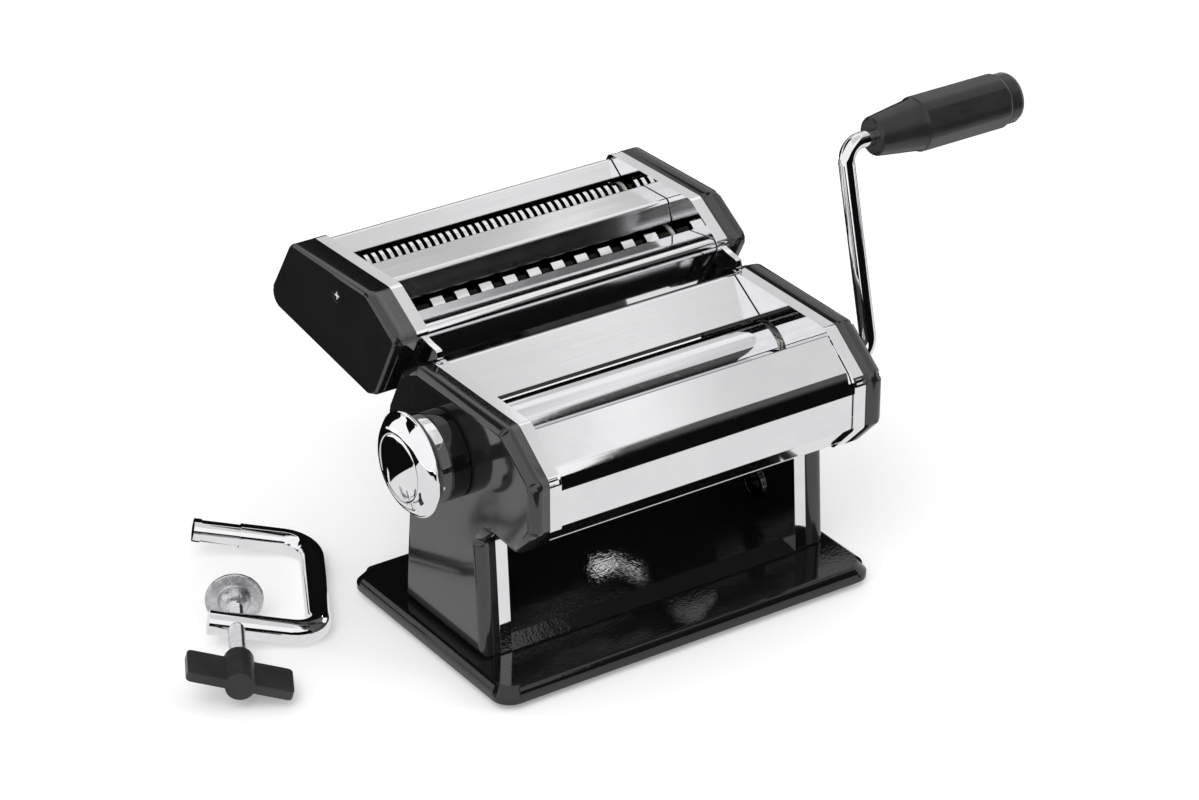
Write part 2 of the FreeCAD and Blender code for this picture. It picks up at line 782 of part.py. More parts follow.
spindle_end = cover_face + knob_gap + collar_length + spindle_in_cap
rise_per_degree = gap_step / step_angle
cam_low = rest_steps * step_angle
cam_high = open_steps * step_angle
cam_points = []
for k in range(72):
    angle = -cam_high + 5.0 * k
    if angle <= cam_low + cam_dwell:
        radius = cam_radius - rise_per_degree * min(angle, cam_low)
    else:
        share = (angle - cam_low - cam_dwell) / (360 - cam_high - cam_low - cam_dwell)
        radius = cam_radius - close_travel + share * (open_travel + close_travel)
    turn = math.radians(angle)
    cam_points.append((rear_axis_y + radius * math.cos(turn), axis_height + radius * math.sin(turn)))
spindle = rod(-spindle_end, -cam_from, rear_axis, spindle_radius)
spindle = spindle.fuse(prism(cam_points, -cam_to, -cam_from))
save("regulator_spindle", spindle)

collar_from = cover_face + knob_gap
collar_to = collar_from + collar_length
bore_end = spindle_end + end_float
spindle_bore = spindle_radius + running_fit
boss_pocket = boss_out + end_float
collar = spin([
    (-collar_from, collar_radius - collar_wall), (-collar_from, collar_radius - collar_edge),
    (-collar_from - collar_edge, collar_radius), (-collar_to + collar_edge, collar_radius),
    (-collar_to, collar_radius - collar_edge), (-collar_to, spindle_bore), (-boss_pocket, spindle_bore),
    (-boss_pocket, collar_radius - collar_wall),
], rear_axis)
save("knob_collar", collar)
knob_face = cover_face + knob_length
dome_height = knob_dish * 0.7 + knob_dome_rise
cap = spin([
    (-collar_to, spindle_bore), (-collar_to, collar_radius - collar_edge),
    (-knob_face + knob_neck, collar_radius - collar_edge / 3),
    (-knob_face + knob_rim * 1.5, knob_radius - knob_lip / 2), (-knob_face + knob_rim, knob_radius),
    (-knob_face + knob_lip / 2, knob_radius), (-knob_face, knob_radius - knob_lip / 2),
    (-knob_face, knob_radius - knob_lip), (-knob_face + knob_dish, knob_dome_radius + knob_lip * 1.5),
    (-knob_face + knob_dish, knob_dome_radius + knob_lip / 2),
    (-knob_face + knob_dish * 0.7, knob_dome_radius),
    (-knob_face + knob_dish * 0.7 - dome_height * 0.5, knob_dome_radius * 0.8),
    (-knob_face + knob_dish * 0.7 - dome_height * 0.82, knob_dome_radius * 0.5),
    (-knob_face - knob_dome_rise, 0), (-bore_end, 0), (-bore_end, spindle_bore),
], rear_axis)
save("knob_cap", cap)

# ---- clamp socket sleeve --------------------------------------------------
sleeve = spin([
    (plate_inside - socket_lip, socket_radius), (plate_inside - socket_lip, socket_lip_radius - socket_edge),
    (plate_inside - socket_lip + socket_edge, socket_lip_radius), (plate_inside, socket_lip_radius),
    (plate_inside, socket_radius + socket_wall), (crank_cover_face, socket_radius + socket_wall),
    (crank_cover_face, socket_radius),
], socket_centre)
save("clamp_sleeve", sleeve)


# ---- crank ----------------------------------------------------------------
def bent_rod(points, bend, radius):
    """A round bar along straight runs joined by tangent arcs."""
    edges = []
    start = points[0]
    for i in range(1, len(points) - 1):
        back = (points[i - 1] - points[i]).normalize()
        ahead = (points[i + 1] - points[i]).normalize()
        half = back.getAngle(ahead) / 2
        reach = bend / math.tan(half)
        bisector = (back + ahead).normalize()
        first = points[i] + back * reach
        last = points[i] + ahead * reach
        middle = points[i] + bisector * (bend / math.sin(half) - bend)
        edges.append(Part.makeLine(start, first))
        edges.append(Part.Arc(first, middle, last).toShape())
        start = last
    edges.append(Part.makeLine(start, points[-1]))
    path = Part.Wire(edges)
    along = (points[1] - points[0]).normalize()
    profile = Part.Wire([Part.makeCircle(radius, points[0], along)])
    return path.makePipeShell([profile], True, False)


crank_tip = hub_end - crank_reach + socket_clear
rod_end = grip_start + grip_cone + grip_body + grip_cap - grip_stub_end
crank = bent_rod([
    V(crank_tip, crank_pivot[0], crank_pivot[1]), V(crank_plane, crank_pivot[0], crank_pivot[1]),
    V(crank_plane, grip_axis[0], grip_axis[1]), V(rod_end, grip_axis[0], grip_axis[1]),
], crank_bend, crank_radius)
pin_x = hub_end - drive_slot_depth + drive_pin_radius + slide_fit
crank = crank.fuse(Part.makeCylinder(
    drive_pin_radius, drive_pin_length,
    V(pin_x, crank_pivot[0], crank_pivot[1] - drive_pin_length / 2),
))
save("crank_rod", crank)

cone_end = grip_start + grip_cone
body_end = cone_end + grip_body
cap_end = body_end + grip_cap
bore = crank_radius + running_fit
grip = spin([
    (grip_start, bore), (grip_start, grip_small_radius - grip_shoulder),
    (grip_start + grip_edge, grip_small_radius - grip_edge / 2),
    (grip_start + 2 * grip_edge, grip_small_radius),
    (cone_end - grip_shoulder, grip_radius - grip_edge), (cone_end, grip_radius),
    (body_end - grip_shoulder, grip_radius), (body_end, grip_radius - grip_edge), (body_end, bore),
], grip_axis)
hexagon = []
for k in range(6):
    angle = math.pi / 3 * k
    hexagon.append((
        grip_axis[0] + grip_flat / math.cos(math.pi / 6) * math.cos(angle),
        grip_axis[1] + grip_flat / math.cos(math.pi / 6) * math.sin(angle),
    ))
flats = prism(hexagon, cone_end, body_end + 1)
grip = grip.cut(rod(cone_end, body_end + 1, grip_axis, grip_radius + 2).cut(flats))
save("crank_grip", grip)
grip_end = spin([
    (body_end, 0), (body_end, grip_cap_radius), (cap_end - grip_cap_round, grip_cap_radius),
    (cap_end - grip_cap_round * 0.4, grip_cap_radius - grip_cap_round * 0.3),
    (cap_end - grip_cap_round * 0.1, grip_cap_radius - grip_cap_round * 0.8),
    (cap_end, grip_cap_radius - grip_cap_round * 1.5), (cap_end, 0),
], grip_axis)
grip_end = grip_end.cut(rod(body_end - 1, rod_end + grip_end_gap, grip_axis, bore))
save("grip_end_cap", grip_end)

# ---- cutter head: plates, covers, sheets ----------------------------------
head_bush_radius = cutter_journal + running_fit + cutter_bush_wall
drive_axes = (strand_rear, ribbon_front)
all_axes = (strand_front, strand_rear, ribbon_front, ribbon_rear)
head_tie_places = [
    ((strand_nip_y + ribbon_nip_y) / 2, head_bottom + head_tie_rise),
    (head_rear[0] - head_tie_setback, head_rear[1]),
]
head_plate = flanged_plate(head_outline, head_radii)
ledge_low = (hook_ledge_y + hook_ledge_run, body_top - hook_ledge_drop)
ledge_along = unit((hook_ledge_y, body_top), ledge_low)
ledge_up = (-ledge_along[1] * hook_lift, ledge_along[0] * hook_lift)
hook_near = (hook_ledge_y + ledge_along[0] * hook_end, body_top + ledge_along[1] * hook_end)
hook_far = (ledge_low[0] - ledge_along[0] * hook_end, ledge_low[1] - ledge_along[1] * hook_end)
hook = prism([
    (hook_near[0] + ledge_up[0], hook_near[1] + ledge_up[1]),
    (hook_far[0] + ledge_up[0], hook_far[1] + ledge_up[1]),
    (ledge_low[0] + hook_height, ledge_low[1] + hook_height),
    (head_front_top[0] + hook_thickness, head_front_top[1] - 2 * hook_thickness),
    (head_front_top[0] + plate_sheet, head_front_top[1] - plate_sheet),
    (head_front_top[0] - hook_height, head_front_top[1] - 2 * plate_sheet),
    (hook_ledge_y - hook_lift, body_top + hook_height),
    (hook_ledge_y - plate_sheet, body_top + plate_sheet),
], plate_outside, plate_outside + hook_thickness, [0.4, 0.4, 1.5, 0.4, 0.4, 3.0, 1.5, 1.0])
head_plate = head_plate.fuse(hook)
for axis in all_axes:
    head_plate = head_plate.cut(rod(plate_inside - 1, flange_edge, axis, head_bush_radius))
for place in head_tie_places:
    head_plate = head_plate.cut(rod(plate_inside - 1, plate_outside + 1, place, tie_thread_radius))
save("cutter_left_plate", mirrored(head_plate).removeSplitter())
save("cutter_right_plate", head_plate.removeSplitter())

head_covers = []
head_screws = []
for depth in (head_cover_depth, head_crank_cover_depth):
    face_x = flange_edge + depth
    screw_seat = face_x - screw_head_height
    shell = cover_shell(head_outline, head_radii, depth, head_bevel)
    shell = shell.fuse(rod(plate_outside, face_x - cover_wall, head_screw, screw_boss_radius))
    shell = shell.cut(rod(plate_inside, face_x + 1, head_screw, screw_radius + slide_fit))
    shell = shell.cut(rod(screw_seat, face_x + 1, head_screw, screw_head_radius + loose_fit))
    head_covers.append(shell)
    screw = rod(plate_outside, screw_seat, head_screw, screw_radius)
    screw = screw.fuse(rod(screw_seat, face_x - slide_fit, head_screw, screw_head_radius))
    for tall, wide in ((cross_span, cross_width), (cross_width, cross_span)):
        screw = screw.cut(block(
            face_x - slide_fit - cross_depth, face_x + 1, head_screw[0] - wide / 2,
            head_screw[0] + wide / 2, head_screw[1] - tall / 2, head_screw[1] + tall / 2,
        ))
    head_screws.append(screw)
right_head_cover = head_covers[1]
for axis in drive_axes:
    right_head_cover = right_head_cover.cut(rod(flange_edge, head_crank_face + 1, axis, hub_radius + hub_clearance))
save("cutter_left_cover", mirrored(head_covers[0]))
save("cutter_right_cover", right_head_cover)
save("cutter_cover_screws", mirrored(head_screws[0]), head_screws[1])

rear_lip = (strand_rear[0] - lip_over_roller, strand_axis_z + cutter_radius + slot_lip_rise)
head_rear_path = [
    rear_lip, (head_top_rear[0] - bend_setback, head_top_rear[1] - rim_setback),
    (head_rear[0] - rim_setback, head_rear[1]),
    (head_rear_low[0] + bend_setback, head_rear_low[1] + tail_rise),
]
head_rear_sheet = sheet(head_rear_path, trim_sheet, -1, [slot_bend] * 2, -plate_inside, plate_inside)
save("cutter_rear_sheet", head_rear_sheet)
ridge_height = ribbon_axis_z + cutter_radius + ridge_rise
ridge_path = [
    (strand_front[0] - lip_over_roller, ridge_height - trim_sheet),
    (ribbon_rear[0] - lip_over_roller, ridge_height),
    (ribbon_rear[0] - ridge_foot, ribbon_axis_z + cutter_radius + slot_lip_rise),
]
ridge_sheet = sheet(ridge_path, trim_sheet, 1, [slot_bend], -plate_inside, plate_inside)
save("cutter_ridge_sheet", ridge_sheet)
head_front_path = [
    (ribbon_front[0] + lip_over_roller, ribbon_axis_z + cutter_radius + front_slot_rise),
    (head_front_top[0] + front_bend_in, head_front_top[1] + front_bend_up),
    (head_front_top[0] + rim_setback, head_front_top[1] - 2 * bend_setback),
    (head_front_low[0] + bend_setback, head_front_low[1] + tail_rise),
]
head_front_sheet = sheet(head_front_path, trim_sheet, 1, [nose_bend] * 2, -plate_inside, plate_inside)
save("cutter_front_sheet", head_front_sheet)

head_ties = []
for place in head_tie_places:
    bar = rod(-plate_inside, plate_inside, place, tie_radius)
    bar = bar.fuse(rod(-plate_outside - head_tie_end, plate_outside + head_tie_end, place, tie_thread_radius))
    head_ties.append(bar)
save("cutter_tie_rods", *head_ties)

head_bushes = []
for axis in all_axes:
    bush = spin([
        (plate_inside - cutter_bush_lip, cutter_journal + running_fit),
        (plate_inside - cutter_bush_lip, head_bush_radius + cutter_bush_lip),
        (plate_inside, head_bush_radius + cutter_bush_lip), (plate_inside, head_bush_radius),
        (plate_outside + cutter_bush_lip, head_bush_radius),
        (plate_outside + cutter_bush_lip, cutter_journal + running_fit),
    ], axis)
    head_bushes.append(bush)
    head_bushes.append(mirrored(bush))
save("cutter_bushes", *head_bushes)


# ---- cutter rollers -------------------------------------------------------
def cutting_roller(axis, pitch, offset, driven):
    """Discs and grooves of half a pitch each, cut into one bar."""
    span = roller_end
    disc = pitch / 2 - disc_side_gap
    groove_radius = cutter_radius - groove_depth
    profile = [(-span, groove_radius)]
    count = int(math.floor(2 * span / pitch)) - 1
    first = -count * pitch / 2 + offset
    middles = []
    for k in range(count):
        middle = first + pitch / 2 + k * pitch
        middles.append(middle)
        profile.append((middle - disc / 2, groove_radius))
        profile.append((middle - disc / 2, cutter_radius))
        profile.append((middle + disc / 2, cutter_radius))
        profile.append((middle + disc / 2, groove_radius))
    profile.append((span, groove_radius))
    outer = head_crank_face + hub_stand_out if driven else gear_to
    profile.append((span, cutter_journal))
    profile.append((gear_to, cutter_journal))
    if driven:
        profile.append((gear_to, hub_radius))
        profile.append((outer, hub_radius))
    profile.append((outer, 0))
    profile.append((-plate_outside - 2.0, 0))
    profile.append((-plate_outside - 2.0, cutter_journal))
    profile.append((-span, cutter_journal))
    roller = spin(profile, axis)
    if driven:
        roller = drive_socket(roller, axis, outer)
    return roller, middles


def comb(axis, middles, pitch, outer_side):
    """A strip under the roller with one finger in each groove."""
    clear_radius = cutter_radius - groove_depth + loose_fit
    bar_y = axis[0] + outer_side * comb_offset
    finger_half = comb_thickness / 4
    bar_top = axis[1] - cutter_radius - comb_gap
    finger_top = axis[1] - math.sqrt(clear_radius ** 2 - (comb_offset - finger_half) ** 2)
    strip = block(
        -plate_inside, plate_inside, bar_y - comb_thickness / 2, bar_y + comb_thickness / 2,
        bar_top - comb_height, bar_top,
    )
    half = (pitch / 2 - 2 * loose_fit) / 2
    fingers = []
    for k in range(len(middles) - 1):
        middle = (middles[k] + middles[k + 1]) / 2
        fingers.append(block(
            middle - half, middle + half, bar_y - finger_half, bar_y + finger_half, bar_top, finger_top,
        ))
    return strip.multiFuse(fingers)


pairs = [
    ("spaghetti", strand_rear, strand_front, strand_pitch, 1),
    ("fettuccine", ribbon_front, ribbon_rear, ribbon_pitch, -1),
]
for name, driver, idler, pitch, rear_side in pairs:
    drive_roller, drive_middles = cutting_roller(driver, pitch, 0, True)
    idle_roller, idle_middles = cutting_roller(idler, pitch, pitch / 2, False)
    save(name + "_drive_roller", drive_roller)
    save(name + "_idler_roller", idle_roller)
    drive_phase = 0 if rear_side < 0 else math.pi
    drive_tooth = gear(driver, cutter_teeth, cutter_spacing, cutter_addendum, gear_from, gear_to, drive_phase)
    idle_phase = drive_phase + math.pi + math.pi / cutter_teeth
    idle_tooth = gear(idler, cutter_teeth, cutter_spacing, cutter_addendum, gear_from, gear_to, idle_phase)
    save(name + "_drive_gear", drive_tooth.cut(rod(gear_from - 1, gear_to + 1, driver, cutter_journal)))
    save(name + "_idler_gear", idle_tooth.cut(rod(gear_from - 1, gear_to + 1, idler, cutter_journal)))
    save(
        name + "_combs",
        comb(driver, drive_middles, pitch, rear_side), comb(idler, idle_middles, pitch, -rear_side),
    )

# ---- clamp ----------------------------------------------------------------
# Drawn about the pad: x from the open side to the back, y along the screw towards
# the upper arm. It then lies down on the rim of its pad and on its back.
clamp_lean = math.asin((pad_radius - clamp_rod_radius) / clamp_reach)


def laid_down(shape):
    placed = shape.copy()
    placed.rotate(V(0, 0, 0), V(0, 1, 0), math.degrees(clamp_lean))
    placed.rotate(V(0, 0, 0), V(0, 0, 1), -clamp_heading)
    placed.translate(V(clamp_place[0], clamp_place[1], pad_radius))
    return placed


lower_y = -clamp_arm_to_pad
upper_y = clamp_height - clamp_arm_to_pad
tip_start = -clamp_tip_overhang + clamp_tip_length
frame = bent_rod([
    V(-clamp_foot_overhang, lower_y, 0), V(clamp_reach, lower_y, 0),
    V(clamp_reach, upper_y, 0), V(tip_start, upper_y, 0),
], clamp_bend, clamp_rod_radius)
tip_end = V(-clamp_tip_overhang, upper_y, 0)
tip = Part.makeCylinder(clamp_tip_radius, clamp_tip_length, tip_end, V(1, 0, 0))
tip_collar = Part.makeCylinder(clamp_tip_collar, tip_collar_length, tip_end, V(1, 0, 0))
frame = frame.fuse(tip).fuse(tip_collar)
frame = frame.cut(Part.makeCylinder(
    clamp_screw_radius + running_fit, 4 * clamp_rod_radius,
    V(0, lower_y - 2 * clamp_rod_radius, 0), V(0, 1, 0),
))
save("clamp_frame", laid_down(frame))

pad = Part.makeCylinder(pad_radius, pad_thickness, V(0, -pad_thickness, 0), V(0, 1, 0))
dome = Part.makeCone(pad_dome_radius, pad_dome_top, pad_dome_height, V(0, -pad_thickness, 0), V(0, -1, 0))
pad = pad.fuse(dome)
dome_top = -pad_thickness - pad_dome_height
pad = pad.cut(Part.makeCylinder(neck_radius + running_fit, pad_socket, V(0, dome_top, 0), V(0, 1, 0)))
save("clamp_pad", laid_down(pad))

screw_top = dome_top + pad_socket - running_fit
shoulder = dome_top - loose_fit
hub_start = -clamp_screw_length
screw_low = hub_start - thread_in_hub
screw = Part.makeCylinder(neck_radius, screw_top - shoulder, V(0, shoulder, 0), V(0, 1, 0))
thread = Part.makeCylinder(clamp_screw_radius, shoulder - screw_low, V(0, screw_low, 0), V(0, 1, 0))
screw = screw.fuse(thread)
save("clamp_screw", laid_down(screw))

hub_low = hub_start - wing_hub_length
wing_hub = Part.makeCylinder(wing_hub_radius, wing_hub_length, V(0, hub_low, 0), V(0, 1, 0))
wings = Part.makeBox(wing_span, wing_depth, wing_thickness, V(-wing_span / 2, hub_low, -wing_thickness / 2))
wing_edges = [edge for edge in wings.Edges if abs(edge.tangentAt(edge.FirstParameter).z) > 0.9]
wings = wings.makeFillet(wing_corner, wing_edges)
wings.rotate(V(0, 0, 0), V(0, 1, 0), wing_turn)
handle = wing_hub.fuse(wings)
handle = handle.cut(Part.makeCylinder(clamp_screw_radius, thread_in_hub, V(0, screw_low, 0), V(0, 1, 0)))
save("wing_handle", laid_down(handle))
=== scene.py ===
import bpy
import bmesh
import json
import math
from mathutils import Vector, Matrix

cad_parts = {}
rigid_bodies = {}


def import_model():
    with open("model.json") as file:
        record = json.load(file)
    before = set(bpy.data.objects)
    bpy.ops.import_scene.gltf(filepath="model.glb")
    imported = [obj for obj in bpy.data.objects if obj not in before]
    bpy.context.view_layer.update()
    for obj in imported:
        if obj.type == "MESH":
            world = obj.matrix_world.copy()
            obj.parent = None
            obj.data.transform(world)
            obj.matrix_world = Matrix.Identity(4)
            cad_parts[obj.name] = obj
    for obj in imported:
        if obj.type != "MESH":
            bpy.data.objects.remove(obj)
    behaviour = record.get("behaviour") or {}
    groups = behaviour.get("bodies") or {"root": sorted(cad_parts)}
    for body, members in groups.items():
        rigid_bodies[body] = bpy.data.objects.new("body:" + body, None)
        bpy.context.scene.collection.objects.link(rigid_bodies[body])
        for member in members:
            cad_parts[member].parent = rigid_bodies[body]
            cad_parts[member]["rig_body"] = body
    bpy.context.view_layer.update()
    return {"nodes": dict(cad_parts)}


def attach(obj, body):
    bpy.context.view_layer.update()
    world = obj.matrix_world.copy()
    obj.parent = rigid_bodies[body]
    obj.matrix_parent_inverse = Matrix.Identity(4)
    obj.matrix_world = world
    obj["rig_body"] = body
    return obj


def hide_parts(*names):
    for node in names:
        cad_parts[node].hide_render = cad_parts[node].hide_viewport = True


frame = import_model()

nodes = frame["nodes"]
mm = 0.001
print("frame loaded:", len(nodes), "nodes")


# finishes: effects that several materials share

def newGroup(name, inputs, outputs):
    group = bpy.data.node_groups.new(name, "ShaderNodeTree")
    for label, kind, value in inputs:
        socket = group.interface.new_socket(name=label, in_out="INPUT", socket_type=kind)
        if value is not None:
            socket.default_value = value
    for label, kind in outputs:
        group.interface.new_socket(name=label, in_out="OUTPUT", socket_type=kind)
    source = group.nodes.new("NodeGroupInput")
    drain = group.nodes.new("NodeGroupOutput")
    return group, source, drain


def addNode(tree, kind, **values):
    node = tree.nodes.new(kind)
    for key, value in values.items():
        setattr(node, key, value)
    return node


def mathNode(tree, operation, first, second=None, third=None):
    node = addNode(tree, "ShaderNodeMath", operation=operation)
    for index, value in enumerate((first, second, third)):
        if value is None:
            continue
        if isinstance(value, (int, float)):
            node.inputs[index].default_value = value
        else:
            tree.links.new(value, node.inputs[index])
    return node.outputs[0]


def noiseNode(tree, vector, scale, detail, rough, stretch=None):
    if stretch is not None:
        mapping = addNode(tree, "ShaderNodeMapping")
        mapping.inputs["Scale"].default_value = stretch
        tree.links.new(vector, mapping.inputs["Vector"])
        vector = mapping.outputs["Vector"]
    noise = addNode(tree, "ShaderNodeTexNoise")
    tree.links.new(vector, noise.inputs["Vector"])
    if isinstance(scale, (int, float)):
        noise.inputs["Scale"].default_value = scale
    else:
        tree.links.new(scale, noise.inputs["Scale"])
    noise.inputs["Detail"].default_value = detail
    noise.inputs["Roughness"].default_value = rough
    return noise.outputs["Fac"]


def spread(tree, value, low, high, fromLow, fromHigh):
    ramp = addNode(tree, "ShaderNodeMapRange", clamp=True)
    tree.links.new(value, ramp.inputs["Value"])
    ramp.inputs["From Min"].default_value = fromLow
    ramp.inputs["From Max"].default_value = fromHigh
    for label, bound in (("To Min", low), ("To Max", high)):
        if isinstance(bound, (int, float)):
            ramp.inputs[label].default_value = bound
        else:
            tree.links.new(bound, ramp.inputs[label])
    return ramp.outputs["Result"]


groups = {}


def buildSmudges():
    # finger smudges and wiped patches, as a roughness and a mask
    group, source, drain = newGroup("wipedSmudges", [
        ("Vector", "NodeSocketVector", None), ("Size", "NodeSocketFloat", 14.0),
        ("Clean", "NodeSocketFloat", 0.05), ("Smudged", "NodeSocketFloat", 0.12),
    ], [("Roughness", "NodeSocketFloat"), ("Mask", "NodeSocketFloat")])
    broad = noiseNode(group, source.outputs["Vector"], source.outputs["Size"], detail=4.0, rough=0.6)
    fineSize = mathNode(group, "MULTIPLY", source.outputs["Size"], 9.0)
    fine = noiseNode(group, source.outputs["Vector"], fineSize, detail=2.0, rough=0.5)
    mixed = mathNode(group, "MULTIPLY_ADD", fine, 0.25, mathNode(group, "MULTIPLY", broad, 0.75))
    mask = spread(group, mixed, low=0.0, high=1.0, fromLow=0.42, fromHigh=0.66)
    clean, smudged = source.outputs["Clean"], source.outputs["Smudged"]
    rough = spread(group, mask, low=clean, high=smudged, fromLow=0.0, fromHigh=1.0)
    group.links.new(rough, drain.inputs["Roughness"])
    group.links.new(mask, drain.inputs["Mask"])
    groups["smudges"] = group


def buildBrushed():
    # fine parallel lines along X, left by rolling and brushing
    group, source, drain = newGroup("brushedLines", [
        ("Vector", "NodeSocketVector", None), ("Pitch", "NodeSocketFloat", 900.0),
    ], [("Height", "NodeSocketFloat"), ("Mask", "NodeSocketFloat")])
    vector, pitch = source.outputs["Vector"], source.outputs["Pitch"]
    lines = noiseNode(group, vector, pitch, detail=2.0, rough=0.6, stretch=(0.012, 1.0, 1.0))
    broadPitch = mathNode(group, "MULTIPLY", pitch, 0.16)
    bands = noiseNode(group, vector, broadPitch, detail=2.0, rough=0.5, stretch=(0.03, 1.0, 1.0))
    height = mathNode(group, "MULTIPLY_ADD", lines, 0.7, mathNode(group, "MULTIPLY", bands, 0.3))
    group.links.new(height, drain.inputs["Height"])
    mask = spread(group, height, low=0.0, high=1.0, fromLow=0.38, fromHigh=0.62)
    group.links.new(mask, drain.inputs["Mask"])
    groups["brushed"] = group


def buildScratches():
    # sparse hair scratches in two directions
    group, source, drain = newGroup("hairScratches", [
        ("Vector", "NodeSocketVector", None), ("Amount", "NodeSocketFloat", 0.5),
    ], [("Mask", "NodeSocketFloat")])
    masks = []
    for turn, stretch in ((0.5, (14.0, 900.0, 240.0)), (-0.9, (700.0, 11.0, 300.0))):
        mapping = addNode(group, "ShaderNodeMapping")
        mapping.inputs["Rotation"].default_value = (0.3 * turn, turn, turn * 1.3)
        group.links.new(source.outputs["Vector"], mapping.inputs["Vector"])
        lines = noiseNode(group, mapping.outputs["Vector"], scale=1.0, detail=1.0, rough=0.5, stretch=stretch)
        masks.append(spread(group, lines, low=0.0, high=1.0, fromLow=0.69, fromHigh=0.74))
    both = mathNode(group, "MAXIMUM", masks[0], masks[1])
    group.links.new(mathNode(group, "MULTIPLY", both, source.outputs["Amount"]), drain.inputs["Mask"])
    groups["scratches"] = group


def buildGrain():
    # spark-eroded grain of moulded plastic and rubber
    group, source, drain = newGroup("mouldedGrain", [
        ("Vector", "NodeSocketVector", None), ("Size", "NodeSocketFloat", 1400.0),
    ], [("Height", "NodeSocketFloat"), ("Mottle", "NodeSocketFloat")])
    grain = noiseNode(group, source.outputs["Vector"], source.outputs["Size"], detail=3.0, rough=0.65)
    mottleSize = mathNode(group, "MULTIPLY", source.outputs["Size"], 0.03)
    mottle = noiseNode(group, source.outputs["Vector"], mottleSize, detail=4.0, rough=0.55)
    group.links.new(grain, drain.inputs["Height"])
    mottle = spread(group, mottle, low=0.0, high=1.0, fromLow=0.35, fromHigh=0.65)
    group.links.new(mottle, drain.inputs["Mottle"])
    groups["grain"] = group


def buildPeel():
    # slow waves of baked enamel
    group, source, drain = newGroup("enamelPeel", [
        ("Vector", "NodeSocketVector", None), ("Size", "NodeSocketFloat", 260.0),
    ], [("Height", "NodeSocketFloat")])
    small = noiseNode(group, source.outputs["Vector"], source.outputs["Size"], detail=1.5, rough=0.5)
    slowSize = mathNode(group, "MULTIPLY", source.outputs["Size"], 0.28)
    slow = noiseNode(group, source.outputs["Vector"], slowSize, detail=1.0, rough=0.5)
    group.links.new(mathNode(group, "ADD", small, slow), drain.inputs["Height"])
    groups["peel"] = group


def buildGrooves():
    # tells the ground rims of a grooved roller from its grooves, by the distance from the axis; the grooves then get
    # painted shade
    group, source, drain = newGroup("rollerRims", [
        ("Vector", "NodeSocketVector", None), ("AxisY", "NodeSocketFloat", 0.0), ("AxisZ", "NodeSocketFloat", 0.0),
        ("Radius", "NodeSocketFloat", 0.01),
    ], [("Mask", "NodeSocketFloat")])
    split = addNode(group, "ShaderNodeSeparateXYZ")
    group.links.new(source.outputs["Vector"], split.inputs["Vector"])
    across = mathNode(group, "SUBTRACT", split.outputs["Y"], source.outputs["AxisY"])
    upward = mathNode(group, "SUBTRACT", split.outputs["Z"], source.outputs["AxisZ"])
    square = mathNode(group, "MULTIPLY_ADD", across, across, mathNode(group, "MULTIPLY", upward, upward))
    share = mathNode(group, "DIVIDE", mathNode(group, "SQRT", square), source.outputs["Radius"])
    mask = spread(group, share, low=0.0, high=1.0, fromLow=0.955, fromHigh=0.975)
    group.links.new(mask, drain.inputs["Mask"])
    groups["grooves"] = group


for build in (buildSmudges, buildBrushed, buildScratches, buildGrain, buildPeel, buildGrooves):
    build()


def placeGroup(tree, key, vector, **values):
    node = addNode(tree, "ShaderNodeGroup", node_tree=groups[key])
    tree.links.new(vector, node.inputs["Vector"])
    for label, value in values.items():
        node.inputs[label].default_value = value
    return node


def placeSmudges(tree, vector, look):
    return placeGroup(
        tree, "smudges", vector, Size=look["smudgeSize"], Clean=look["clean"], Smudged=look["smudged"],
    )


def emptyMaterial(name):
    material = bpy.data.materials.new(name)
    material.use_nodes = True
    tree = material.node_tree
    tree.nodes.clear()
    output = addNode(tree, "ShaderNodeOutputMaterial")
    return material, tree, output.inputs["Surface"]


def startFinish(name, look):
    material, tree, surface = emptyMaterial(name)
    shader = addNode(tree, "ShaderNodeBsdfPrincipled")
    tree.links.new(shader.outputs["BSDF"], surface)
    for label, value in look.get("fixed", {}).items():
        shader.inputs[label].default_value = value
    coordinates = addNode(tree, "ShaderNodeTexCoord")
    return material, tree, shader, coordinates.outputs["Object"]


def mixColour(tree, shader, mask, first, second):
    mix = addNode(tree, "ShaderNodeMix", data_type="RGBA")
    tree.links.new(mask, mix.inputs["Factor"])
    mix.inputs["A"].default_value = (*first, 1.0)
    mix.inputs["B"].default_value = (*second, 1.0)
    tree.links.new(mix.outputs["Result"], shader.inputs["Base Color"])
    return mix.outputs["Result"]


def paintInsideShade(tree, shader, outside, colour):
    # painted shade: the inner skin of a sheet is painted near black for the shade inside the body; its vertices carry
    # the share
    inside = addNode(tree, "ShaderNodeAttribute", attribute_name="insideSkin")
    second = addNode(tree, "ShaderNodeMix", data_type="RGBA")
    tree.links.new(inside.outputs["Fac"], second.inputs["Factor"])
    tree.links.new(outside, second.inputs["A"])
    second.inputs["B"].default_value = (*colour, 1.0)
    tree.links.new(second.outputs["Result"], shader.inputs["Base Color"])


bumpDistances = {"brush": 0.0002, "wave": 0.0006, "grain": 0.0002, "peel": 0.0008}  # metres


def bumpInto(tree, shader, height, strength, kind):
    bump = addNode(tree, "ShaderNodeBump")
    bump.inputs["Strength"].default_value = strength
    bump.inputs["Distance"].default_value = bumpDistances[kind]
    tree.links.new(height, bump.inputs["Height"])
    tree.links.new(bump.outputs["Normal"], shader.inputs["Normal"])


scratchRoughness = 0.22


